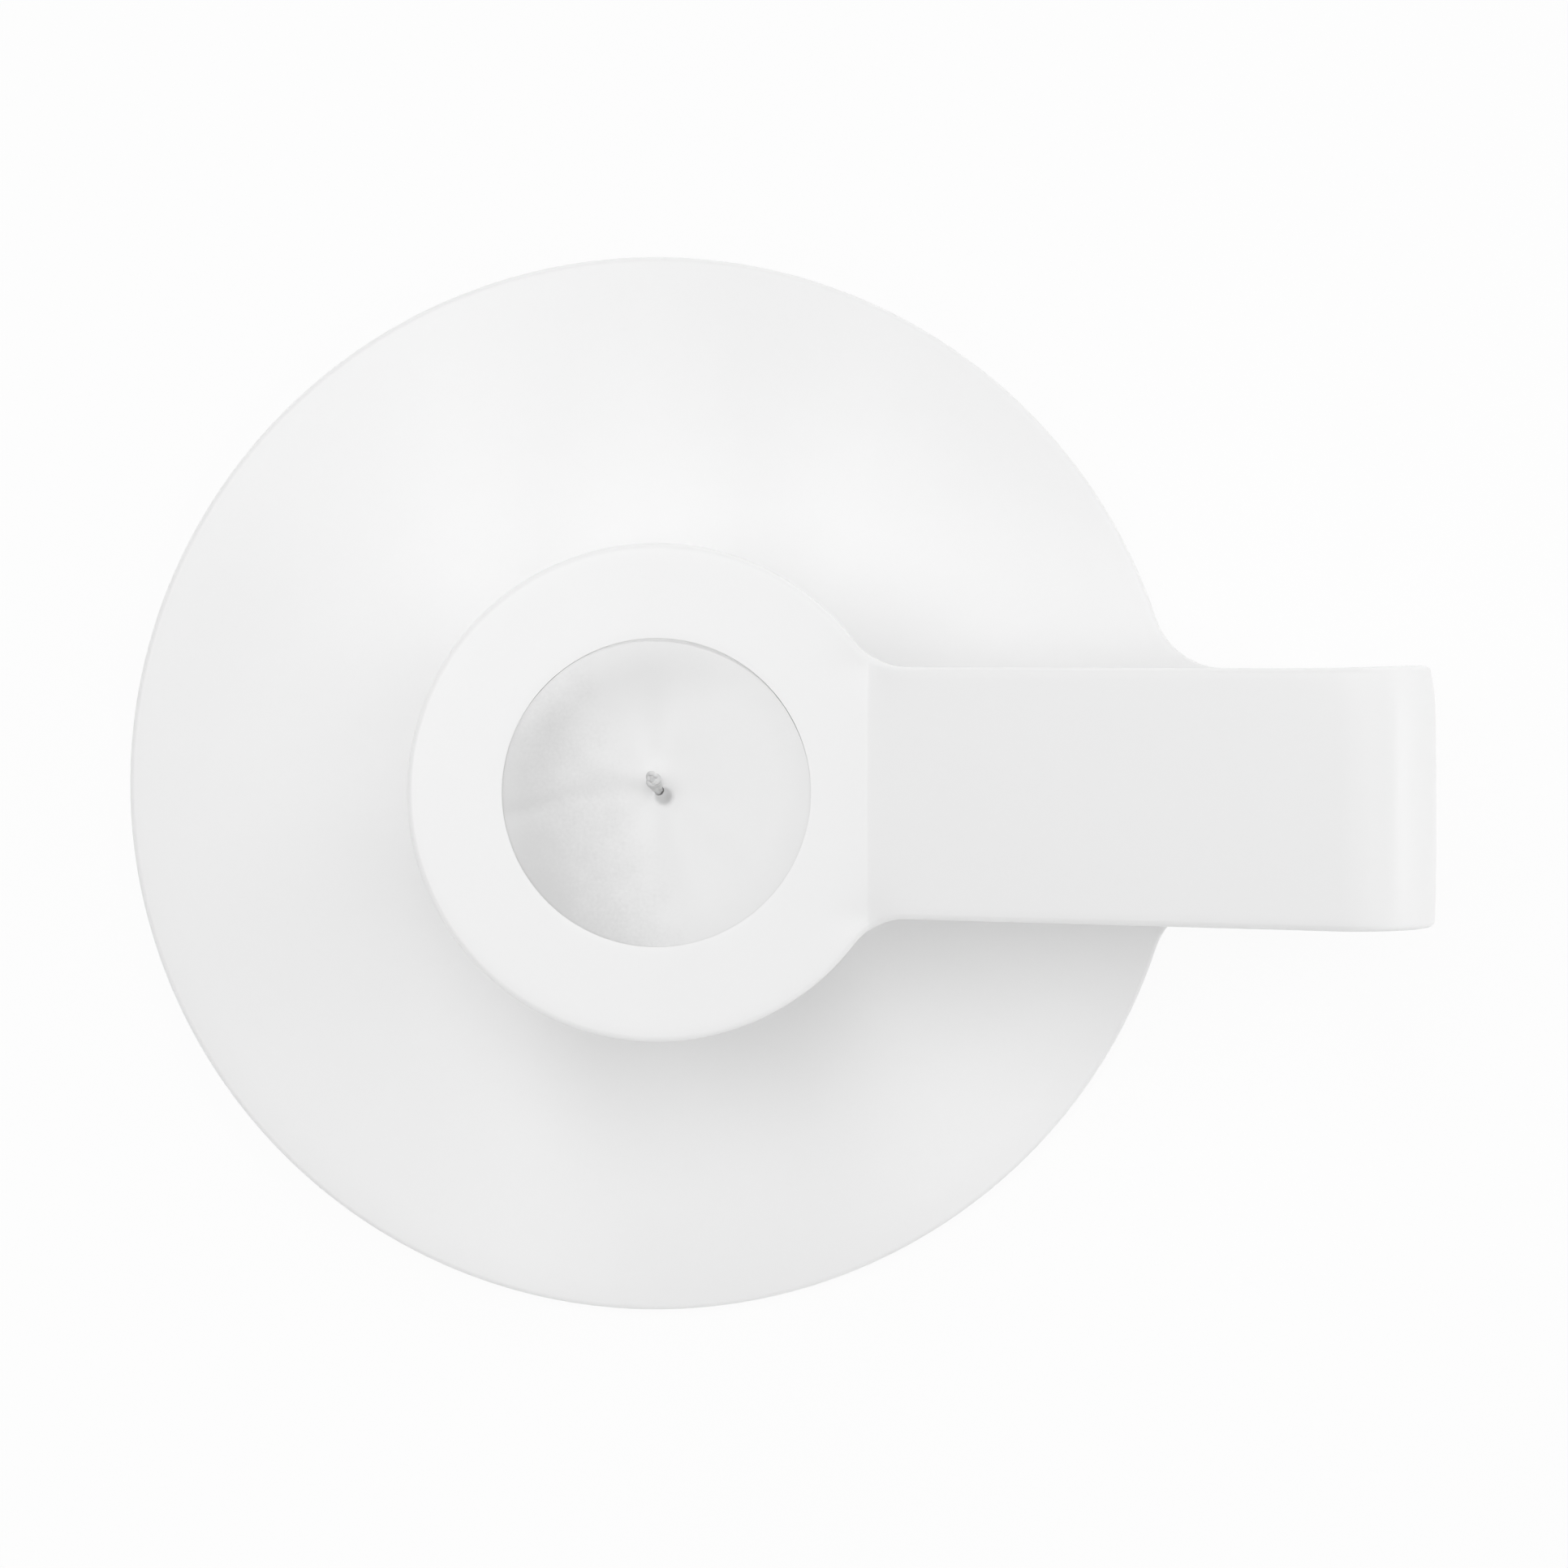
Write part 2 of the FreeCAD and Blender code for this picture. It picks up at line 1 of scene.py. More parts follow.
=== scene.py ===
# %% [markdown]
# # A candle plate with a finger loop
#
# The object is one steel sheet: a round plate that runs out into a tongue, stands up as a
# riser, turns back as a sloping strap and ends in a flat ring over the middle of the plate.
# A short candle stands on the plate, and the ring holds it upright. Every shape in this
# lesson is worked out with numpy, as a grid of points or as a profile along a path, and
# every finish is made of shader nodes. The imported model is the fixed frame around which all
# of it is built, so the frame is loaded first.
# %% Load the frame
import math

import bmesh
import bpy
import numpy as np
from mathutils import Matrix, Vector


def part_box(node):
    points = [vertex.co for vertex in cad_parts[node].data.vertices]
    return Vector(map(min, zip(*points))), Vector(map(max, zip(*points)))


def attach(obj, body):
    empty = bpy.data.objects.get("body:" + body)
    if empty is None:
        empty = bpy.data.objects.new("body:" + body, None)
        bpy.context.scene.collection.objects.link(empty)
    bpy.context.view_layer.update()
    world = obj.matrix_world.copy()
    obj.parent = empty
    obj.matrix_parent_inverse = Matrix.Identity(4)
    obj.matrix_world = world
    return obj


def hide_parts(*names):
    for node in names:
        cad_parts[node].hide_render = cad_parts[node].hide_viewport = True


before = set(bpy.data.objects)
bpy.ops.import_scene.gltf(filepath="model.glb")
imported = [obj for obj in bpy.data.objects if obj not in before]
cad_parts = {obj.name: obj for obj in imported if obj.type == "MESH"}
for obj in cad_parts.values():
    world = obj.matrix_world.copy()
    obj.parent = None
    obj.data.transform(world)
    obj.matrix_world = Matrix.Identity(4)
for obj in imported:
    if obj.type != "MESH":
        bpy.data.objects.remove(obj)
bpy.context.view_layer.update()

# %% [markdown]
# ## The sizes
#
# Blender works in metres. What the frame can tell is read from the frame's own nodes: how
# far the plate and the loop reach, how high the pad is, and how high the candle's crown is,
# which is level with the ring's upper skin. The gauge of the sheet, its bends and its outline
# are the few driving sizes that a box can't tell, so they are named here once. Everything
# below follows from these.
# %% Sizes of the sheet, the ring and the candle
MM = 0.001

sheet_low, sheet_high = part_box("holder_sheet")
tab_low, tab_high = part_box("wick_tab")
pad_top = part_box("foot_pad")[1].z
ring_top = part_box("candle_wax")[1].z

GAUGE = 2.0 * MM
EDGE_ROUND = 0.8 * MM
BEND_INNER = 8.0 * MM
CREASE_INNER = 1.0 * MM
STRAP_WIDTH = 32.8 * MM
STRAP_SLOPE = math.radians(19.0)
CREASE_REACH = 27.3 * MM
RING_RADIUS = 32.5 * MM
RING_FILLET = 9.0 * MM
PLATE_FILLET = 10.4 * MM
HOLE_RADIUS = 20.1 * MM
HOLE_ROUND = 0.02 * MM

plate_radius = -sheet_low.x
loop_reach = sheet_high.x
plate_middle = pad_top + GAUGE / 2
plate_top = plate_middle + GAUGE / 2
print("plate radius", plate_radius, "loop reach", loop_reach, "ring top", ring_top)

# %% [markdown]
# ## The camera
#
# The photo looks straight down from half a metre. Three things in it fix the camera: the
# plate's circle gives the scale, the higher ring and strap show how fast things grow
# towards the lens, and the point below the lens is where upright walls vanish. A small shift
# of the lens puts the object where the photo has it without turning the camera.
# %% Camera above the plate
PHOTO_PIXELS = 1932
PLATE_CENTRE_PIXEL = (808.7, 965.2)
PLATE_RADIUS_PIXELS = 649.2
BELOW_LENS_PIXEL = (809.0, 843.0)
LENS_HEIGHT = 0.5

metres_per_pixel = plate_radius / PLATE_RADIUS_PIXELS
camera_data = bpy.data.cameras.new("camera")
camera = bpy.data.objects.new("camera", camera_data)
bpy.context.scene.collection.objects.link(camera)
bpy.context.scene.camera = camera
camera.location = (
    (BELOW_LENS_PIXEL[0] - PLATE_CENTRE_PIXEL[0]) * metres_per_pixel,
    (PLATE_CENTRE_PIXEL[1] - BELOW_LENS_PIXEL[1]) * metres_per_pixel,
    plate_top + LENS_HEIGHT,
)
camera_data.lens = camera_data.sensor_width * LENS_HEIGHT / (PHOTO_PIXELS * metres_per_pixel)
camera_data.shift_x = 0.5 - BELOW_LENS_PIXEL[0] / PHOTO_PIXELS
camera_data.shift_y = BELOW_LENS_PIXEL[1] / PHOTO_PIXELS - 0.5
print("lens", round(camera_data.lens, 1), "mm at", [round(v, 4) for v in camera.location])

# %% [markdown]
# ## Putting computed points into a mesh
#
# Each shape below is an array of points and an array of faces. Two helpers serve them all:
# one numbers the faces of a grid of points, and one puts points and faces into a mesh,
# joins the patches where their borders meet and turns all the faces outwards.
# %% Faces of a grid, and a mesh from arrays
WELD_DISTANCE = 0.002 * MM


def grid_faces(rows, columns, round_rows=False, round_columns=False):
    """Number the four-sided faces of a grid of points that is stored row by row.

    A face joins point (i, j) with its neighbours (i + 1, j), (i + 1, j + 1) and (i, j + 1).
    A grid that is closed one way also joins its last row or column to its first.
    """
    i = np.arange(rows if round_rows else rows - 1)
    j = np.arange(columns if round_columns else columns - 1)
    i, j = np.meshgrid(i, j, indexing="ij")
    below, right = (i + 1) % rows, (j + 1) % columns
    corners = [i * columns + j, below * columns + j, below * columns + right, i * columns + right]
    return np.stack(corners, axis=-1).reshape(-1, 4)


def mesh_piece(name, patches, smooth_angle=None):
    """Make one object from patches, each a (points, faces) pair of arrays.

    A smooth angle, where it is given, keeps the edges sharp that turn further than that.
    """
    points, faces, start = [], [], 0
    for patch_points, patch_faces in patches:
        points.append(patch_points.reshape(-1, 3))
        faces.extend((np.asarray(patch_faces) + start).tolist())
        start += len(points[-1])
    mesh = bpy.data.meshes.new(name)
    mesh.from_pydata(np.concatenate(points).tolist(), [], faces)
    work = bmesh.new()
    work.from_mesh(mesh)
    bmesh.ops.remove_doubles(work, verts=work.verts, dist=WELD_DISTANCE)
    bmesh.ops.dissolve_degenerate(work, edges=work.edges, dist=WELD_DISTANCE / 10)
    bmesh.ops.recalc_face_normals(work, faces=work.faces)
    work.to_mesh(mesh)
    open_edges = sum(not edge.is_manifold for edge in work.edges)
    work.free()
    mesh.shade_smooth()
    if smooth_angle is not None:
        mesh.set_sharp_from_angle(angle=smooth_angle)
    piece = bpy.data.objects.new(name, mesh)
    bpy.context.scene.collection.objects.link(piece)
    print(name, len(mesh.vertices), "points,", len(mesh.polygons), "faces,", open_edges, "open edges")
    return piece


# %% [markdown]
# ## The folded sheet
#
# The real sheet is cut flat and then folded, and it is made the same way here. First comes
# the flat blank, in two coordinates: s runs along the middle line from the plate's centre to
# the ring, and y runs across. Half of its outline is a chain of arcs and one straight
# edge; the other half is its mirror image. Making the blank flat keeps every bend exact,
# because folding is then one formula for all of its points.
# %% Lengths of the flat blank along its middle line
bend_middle = BEND_INNER + GAUGE / 2
bend_outer = BEND_INNER + GAUGE
crease_middle = CREASE_INNER + GAUGE / 2
strap_foot_x = CREASE_REACH + CREASE_INNER * math.sin(STRAP_SLOPE)
strap_foot_z = ring_top + CREASE_INNER * (1 - math.cos(STRAP_SLOPE))
bend_centre_x = loop_reach - bend_outer
strap_length = bend_centre_x - bend_outer * math.sin(STRAP_SLOPE) - strap_foot_x
strap_length /= math.cos(STRAP_SLOPE)
bend_centre_z = strap_foot_z + strap_length * math.sin(STRAP_SLOPE)
bend_centre_z -= bend_outer * math.cos(STRAP_SLOPE)

# Each run of the middle line: its length, and how far it turns, upwards or to the left.
runs = [
    (bend_centre_x, 0.0),
    (bend_middle * math.pi / 2, math.pi / 2),
    (bend_centre_z - plate_middle - bend_middle, 0.0),
    (bend_middle * (math.pi / 2 + STRAP_SLOPE), math.pi / 2 + STRAP_SLOPE),
    (strap_length, 0.0),
    (crease_middle * STRAP_SLOPE, -STRAP_SLOPE),
    (CREASE_REACH, 0.0),
]
run_ends = np.cumsum([0.0] + [length for length, turn in runs])
foot_start, foot_end, bend_start, bend_end, crease_start, crease_end, ring_centre = run_ends[1:]
print("the blank is", round((ring_centre + RING_RADIUS + plate_radius) / MM, 1), "mm long")

# %% Half of the blank's outline, with the direction that points out of the sheet
BLANK_STEP = 2.0 * MM
BEND_STEP = 0.5 * MM
MARGIN_STEPS = 4
PLATE_POINTS = 120
PLATE_FILLET_POINTS = 18
RING_FILLET_POINTS = 56
RING_POINTS = 90

half_width = STRAP_WIDTH / 2


def sweep(centre, radius, first, last, count, hollow=False):
    """Points on an arc between two angles, and the way out of the sheet at each of them.

    A point is the centre plus the radius times (cosine, sine) of its angle. The way out
    points from the centre, or towards it where the arc is a hollow corner of the sheet.
    """
    angle = np.radians(np.linspace(first, last, count))
    ray = np.stack([np.cos(angle), np.sin(angle)], axis=1)
    return np.asarray(centre) + radius * ray, -ray if hollow else ray


def side_stations(first, last):
    """Places along the straight edge: close together at the two bends, wide apart elsewhere."""
    margin = MARGIN_STEPS * BLANK_STEP
    coarse = np.arange(first, last, BLANK_STEP)
    near_foot = (coarse > foot_start - margin) & (coarse < foot_end + margin)
    near_bend = (coarse > bend_start - margin) & (coarse < bend_end + margin)
    fine_foot = np.arange(foot_start - margin, foot_end + margin, BEND_STEP)
    fine_bend = np.arange(bend_start - margin, bend_end + margin, BEND_STEP)
    places = np.concatenate([coarse[~near_foot & ~near_bend], fine_foot, fine_bend])
    return np.sort(places[(places > first + BEND_STEP) & (places < last - BEND_STEP)])


tongue_root = math.sqrt((plate_radius + PLATE_FILLET) ** 2 - (half_width + PLATE_FILLET) ** 2)
plate_turn = math.degrees(math.atan2(half_width + PLATE_FILLET, tongue_root))
neck_length = math.sqrt((RING_RADIUS + RING_FILLET) ** 2 - (half_width + RING_FILLET) ** 2)
strap_tip = ring_centre - neck_length
ring_turn = math.degrees(math.atan2(half_width + RING_FILLET, neck_length))

straight = side_stations(tongue_root, strap_tip)
straight_points = np.stack([straight, np.full_like(straight, half_width)], axis=1)
straight_out = np.tile([0.0, 1.0], (len(straight), 1))
plate_fillet_centre = (tongue_root, half_width + PLATE_FILLET)
ring_fillet_centre = (strap_tip, half_width + RING_FILLET)
chain = [
    sweep((0.0, 0.0), plate_radius, 180, plate_turn, PLATE_POINTS),
    sweep(plate_fillet_centre, PLATE_FILLET, 180 + plate_turn, 270, PLATE_FILLET_POINTS, hollow=True),
    (straight_points, straight_out),
    sweep(ring_fillet_centre, RING_FILLET, 270, 360 - ring_turn, RING_FILLET_POINTS, hollow=True),
    sweep((ring_centre, 0.0), RING_RADIUS, 180 - ring_turn, 0, RING_POINTS),
]

# The first and the fourth arc end where the next arc begins, so they give up their last point.
for k in (0, 3):
    chain[k] = tuple(part[:-1] for part in chain[k])
half_points, half_out = (np.concatenate(parts) for parts in zip(*chain))
print(len(half_points), "points on half of the outline")

# %% [markdown]
# A cut and powder-coated edge isn't sharp: it is rounded over to both skins, and that round
# is what catches the light as a thin bright rim in the photo. So the skins stop short of the
# outline by the edge's radius, and a rim with a rounded profile closes the gap between them.
# The flat skins have three patches that share their borders: a disc for the plate, a strip
# for tongue, riser and strap, and a disc with a hole for the ring.
# %% The flat skins in patches
ACROSS = 40
PLATE_RINGS = 18
RING_RINGS = 10
PLATE_CHORD = 0.9
RING_CHORD = 0.75

inset = half_points - EDGE_ROUND * half_out
rows_of_strip = (inset[:, 0] >= PLATE_CHORD * plate_radius)
rows_of_strip &= (inset[:, 0] <= ring_centre - RING_CHORD * RING_RADIUS)
strip = inset[rows_of_strip]
first_row = int(np.argmax(rows_of_strip))
last_row = first_row + len(strip) - 1
across_shares = np.linspace(1, -1, ACROSS + 1)
print(len(strip), "stations along the strip,", ACROSS + 1, "points across")


def strip_patch():
    """Stations along s, each a straight line across: y is the half width times a share."""
    s = np.repeat(strip[:, :1], ACROSS + 1, axis=1)
    y = strip[:, 1:] * across_shares
    return np.stack([s, y], axis=-1), grid_faces(len(strip), ACROSS + 1)


def closed_loop(upper, station):
    """Close a loop: the upper half of an outline, its mirror image, and the station's chord."""
    lower = upper[::-1] * [1, -1]
    chord_y = station[1] * across_shares[1:-1]
    chord = np.stack([np.full_like(chord_y, station[0]), chord_y], axis=1)
    return np.concatenate([upper, lower[1:], chord[::-1]])


def plate_patch():
    """The plate inside its inset outline: the outline shrunk towards the centre in steps.

    Gives the points, the four-sided faces, and the fan of triangles round the centre.
    """
    loop = closed_loop(inset[: first_row + 1][::-1], strip[0])
    count = len(loop)
    shares = np.linspace(1, 0, PLATE_RINGS + 1)[:-1]
    rings = shares[:, None, None] * loop
    points = np.concatenate([rings.reshape(-1, 2), [[0.0, 0.0]]])
    faces = grid_faces(PLATE_RINGS, count, round_columns=True)
    last = (PLATE_RINGS - 1) * count
    hub = len(points) - 1
    fan = [[last + k, last + (k + 1) % count, hub] for k in range(count)]
    return points, faces, fan


def ring_patch():
    """The ring between its inset outline and the inset hole, blended along each ray.

    Gives the rays too, because the rim of the hole points along them.
    """
    loop = closed_loop(inset[last_row:], strip[-1])
    arm = loop - [ring_centre, 0.0]
    ray = arm / np.linalg.norm(arm, axis=1, keepdims=True)
    inner = [ring_centre, 0.0] + (HOLE_RADIUS + HOLE_ROUND) * ray
    share = np.linspace(0, 1, RING_RINGS + 1)[:, None, None]
    points = loop * (1 - share) + inner * share
    return points, grid_faces(*points.shape[:2], round_columns=True), ray


# %% [markdown]
# Folding turns the flat coordinates into space. Along the middle line the heading is the sum
# of all turning so far, and the place is the sum of all steps in that heading. A point that
# lies t above the middle line sits t along the normal there. That one rule carries plate,
# riser, strap and ring, and the sheet keeps its gauge everywhere.
# %% Fold the blank
FOLD_SAMPLES = 40001

path_s = np.linspace(-plate_radius, ring_centre + RING_RADIUS, FOLD_SAMPLES)
turns = np.array([0.0] + [turn for length, turn in runs])
path_heading = np.interp(path_s, run_ends, np.cumsum(turns))
path_step = np.diff(path_s)
middle_heading = (path_heading[1:] + path_heading[:-1]) / 2
path_x = np.concatenate([[0.0], np.cumsum(np.cos(middle_heading) * path_step)]) - plate_radius
path_z = np.concatenate([[0.0], np.cumsum(np.sin(middle_heading) * path_step)]) + plate_middle


def fold(s, y, t):
    """Carry blank points into space: the path's place at s, plus t along the path's normal."""
    heading = np.interp(s, path_s, path_heading)
    x = np.interp(s, path_s, path_x) - t * np.sin(heading)
    z = np.interp(s, path_s, path_z) + t * np.cos(heading)
    return np.stack([x, y, z], axis=-1)


print("the ring's middle lies at", fold(ring_centre, 0.0, 0.0).round(5).tolist())

# %% [markdown]
# A press bends a sheet between straight tools, but the last few millimetres at each edge
# have nothing beside them and give way. The photo shows it at two places: the loop's outer
# bend is drawn in by about a millimetre towards one edge of the strap, and the ends of the
# crease sink a little and catch the light. Both are smooth dents in the normal's direction,
# strongest at the edge and gone within a finger's width. The drawn-in edge has also spread
# across by a third of a millimetre, and the loop leans across by as much the other way, most
# where the strap leaves the bend.
# %% Dents at the ends of the bends, the edge's spread and the loop's lean
LOOP_DENT = 0.95 * MM
LOOP_DENT_SMALL = 0.3 * MM
LOOP_DENT_REACH = 2.6 * MM
LOOP_DENT_LENGTH = 10.0 * MM
LOOP_DENT_PLACE = 0.3
CREASE_DENT = 0.5 * MM
CREASE_DENT_REACH = 3.0 * MM
CREASE_DENT_LENGTH = 3.6 * MM
EDGE_SPREAD = 0.32 * MM
STRAP_LEAN = 0.33 * MM
LEAN_PLACES = [foot_start, bend_start, bend_end, crease_start]
LEAN_SHARES = [0.0, 0.4, 1.0, 0.0]

loop_dent_s = bend_start * (1 - LOOP_DENT_PLACE) + bend_end * LOOP_DENT_PLACE


def hill(distance, reach):
    """A bell curve: one at no distance, falling as e to the minus the squared share."""
    return np.exp(-((distance / reach) ** 2))


def edge_fall(distance, reach):
    """One at an edge and past it, and e to the minus the distance's share of the reach inside."""
    return np.exp(-np.clip(distance, 0, None) / reach)


def dents(s, y):
    """How far the sheet is pushed along its normal, towards the inside of the loop.

    Each dent is its depth, times a fall away from the strap's edge, times a bell curve along
    the sheet. The dents of the crease fall off to both sides of the edge's line.
    """
    near_edge = edge_fall(half_width - y, LOOP_DENT_REACH)
    far_edge = edge_fall(half_width + y, LOOP_DENT_REACH)
    along_bend = hill(s - loop_dent_s, LOOP_DENT_LENGTH)
    loop = (LOOP_DENT * near_edge + LOOP_DENT_SMALL * far_edge) * along_bend
    crease_edge = edge_fall(np.abs(half_width - np.abs(y)), CREASE_DENT_REACH)
    along_crease = hill(s - crease_end, CREASE_DENT_LENGTH)
    return loop + CREASE_DENT * crease_edge * along_crease


def drift(s, y):
    """How far the sheet has moved across: the drawn-in edge's spread, less the loop's lean."""
    near_edge = edge_fall(half_width - y, LOOP_DENT_REACH)
    spread = near_edge * hill(s - (bend_start + bend_end) / 2, LOOP_DENT_LENGTH)
    return EDGE_SPREAD * spread - STRAP_LEAN * np.interp(s, LEAN_PLACES, LEAN_SHARES)


def skin(flat, t):
    """Fold flat (s, y) points at height t, dents and all."""
    s, y = flat[..., 0], flat[..., 1]
    return fold(s, y + drift(s, y), t + dents(s, y))


print("the bend is drawn in by", round(dents(loop_dent_s, half_width) / MM, 2), "mm at one edge")

# %% The rims: a rounded profile carried along the outline and round the hole
ROUND_STEPS = 7


def rim_patch(line, out, rounding):
    """Carry the rim's profile along a closed line.

    Each point is the line's, plus the profile's width along the way out and the profile's
    height along the sheet's normal. The profile is a quarter turn down from the upper skin,
    the flat wall, and a quarter turn in to the lower skin. Dents and lean are taken from the
    line, so that the rim keeps its form and meets the skins.
    """
    turn = np.linspace(0, math.pi / 2, ROUND_STEPS)
    wall = GAUGE / 2 - rounding
    rim_out = np.concatenate([np.sin(turn), np.cos(turn)]) * rounding
    rim_up = np.concatenate([wall + rounding * np.cos(turn), -wall - rounding * np.sin(turn)])
    flat = line[:, None, :] + rim_out[None, :, None] * out[:, None, :]
    heights = np.broadcast_to(rim_up, flat.shape[:2])
    edge = line[:, None, 0], line[:, None, 1]
    points = fold(flat[..., 0], flat[..., 1] + drift(*edge), heights + dents(*edge))
    return points, grid_faces(*heights.shape, round_rows=True)


def build_sheet():
    """Both skins and both rims of the folded sheet, as one closed piece."""
    strip_flat, strip_faces = strip_patch()
    plate_flat, plate_quads, plate_fan = plate_patch()
    ring_flat, ring_faces, ring_rays = ring_patch()
    patches = []
    for t in (GAUGE / 2, -GAUGE / 2):
        plate_points = skin(plate_flat, t)
        patches.append((skin(strip_flat, t), strip_faces))
        patches.append((plate_points, plate_quads))
        patches.append((plate_points, plate_fan))
        patches.append((skin(ring_flat, t), ring_faces))

    # The whole outline is the half and its mirror image, less its two ends on the middle line.
    whole = np.concatenate([inset, inset[-2:0:-1] * [1, -1]])
    whole_out = np.concatenate([half_out, half_out[-2:0:-1] * [1, -1]])
    patches.append(rim_patch(whole, whole_out, EDGE_ROUND))
    patches.append(rim_patch(ring_flat[-1], -ring_rays, HOLE_ROUND))
    return mesh_piece("folded_sheet", patches)


folded_sheet = build_sheet()
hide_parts("holder_sheet")
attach(folded_sheet, "holder")

# %% [markdown]
# ## The candle's wax
#
# The wax was poured into a mould, and its top set last. Such a top is never a true dome: it
# rises to the wick, falls off at the rim and sinks a little more on the side that cooled
# last, here the left. A soft furrow runs from that side to the wick, a little mound has
# crept up one side of the wick and a small hollow lies at its other side. The body is a
# profile turned about the axis, and its top is lifted by a height formula of x and y, so
# that all of these are real shape. Wax shrinks as it sets, and here it has drawn away from
# the ring on one side only, so a thin gap shows there and closes to both sides.
# %% The height of the wax top
SNUG_GAP = 0.002 * MM
OPEN_GAP = 0.44 * MM
OPEN_TOWARDS = math.radians(80)
OPEN_REACH = math.radians(37)
RIM_FALL = 0.02 * MM
RIM_FALL_POWER = 3.4
SIDE_FALL = 0.15 * MM
SIDE_FALL_POWER = 1.6
SIDE_TOWARDS = math.radians(195)
WICK_EXIT = np.array([0.3, 0.35]) * MM
MOUND_PLACE = np.array([0.4, 1.4]) * MM
MOUND_HEIGHT = 1.0 * MM
MOUND_REACH = 1.7 * MM
HOLLOW_PLACE = np.array([0.9, -0.4]) * MM
HOLLOW_DEPTH = 0.7 * MM
HOLLOW_REACH = 1.15 * MM
FURROW_DEPTH = 0.2 * MM
FURROW_REACH = 1.3 * MM
FURROW_START = 0.75 * MM
FURROW_SLANT = 0.17
FURROW_WAVE = 0.02
FURROW_WAVE_RATE = 9
FURROW_FADE_POWER = 0.5

wax_radius = HOLE_RADIUS - SNUG_GAP


def wax_top(x, y):
    """The height of the wax top over the plane, at places about the candle's own axis.

    It is the crown's height, less the rim's fall times the distance share to a power, less
    the side's fall times the share towards that side, plus the mound, less the hollow, and
    less the furrow. Mound and furrow are bell curves. The hollow's floor is flatter and its
    sides are steeper, because its bell takes the share to the fourth power. The furrow's line
    slants and waves a little, and its depth fades to nothing at the wick.
    """
    share = np.hypot(x, y) / wax_radius
    towards_side = (x * math.cos(SIDE_TOWARDS) + y * math.sin(SIDE_TOWARDS)) / wax_radius
    height = ring_top - RIM_FALL * share**RIM_FALL_POWER
    height = height - SIDE_FALL * np.clip(towards_side, 0, None) ** SIDE_FALL_POWER
    from_mound = np.hypot(x - MOUND_PLACE[0], y - MOUND_PLACE[1])
    height = height + MOUND_HEIGHT * hill(from_mound, MOUND_REACH)
    from_hollow = np.hypot(x - HOLLOW_PLACE[0], y - HOLLOW_PLACE[1]) / HOLLOW_REACH
    height = height - HOLLOW_DEPTH * np.exp(-(from_hollow**4))
    wave = FURROW_WAVE * wax_radius * np.sin(x * FURROW_WAVE_RATE / wax_radius)
    furrow_line = FURROW_START + FURROW_SLANT * x + wave
    along_furrow = np.clip(-x / wax_radius, 0, 1) ** FURROW_FADE_POWER
    return height - FURROW_DEPTH * along_furrow * hill(y - furrow_line, FURROW_REACH)


left_fall = ring_top - wax_top(-wax_radius, 0.0)
print("the wax's left rim lies", round(left_fall / MM, 2), "mm under the ring's top")

# %% The wax as a closed profile turned about its axis
AROUND = 216
TOP_RINGS = 96
TOP_CROWDING_POWER = 1.35
BORE_STEPS = 24
BORE_CROWDING_POWER = 2.5
SHOULDER_STEPS = 7
SIDE_RINGS = 30
WAX_SHARP_ANGLE = math.radians(35)
SHOULDER = 0.01 * MM
BASE_BEVEL = 0.8 * MM
BORE_RADIUS = 0.58 * MM
FUNNEL_RADIUS = 0.64 * MM
FUNNEL_SHIFT = np.array([0.06, -0.05]) * MM
FUNNEL_DEPTH = 0.35 * MM
TAB_PLAY = 0.03 * MM
TAB_THICKNESS = 0.3 * MM
NECK_RADIUS = 1.13 * MM

base_z = tab_low.z
tab_wall = tab_high.x + TAB_PLAY
tab_roof = base_z + TAB_THICKNESS + TAB_PLAY
neck_wall = NECK_RADIUS + TAB_PLAY
neck_roof = tab_high.z + TAB_PLAY


def wick_drift(z):
    """How far the wick has strayed from the axis at a height: none at the tab, all at the top."""
    share = np.clip((z - neck_roof) / (ring_top - neck_roof), 0, 1)
    return WICK_EXIT * (share**2 * (3 - 2 * share))[..., None]


def raised(flat, height):
    """Give flat (x, y) points their heights: one for each point, or one for all."""
    height = np.broadcast_to(height, flat.shape[:-1])
    return np.concatenate([flat, height[..., None]], axis=-1)


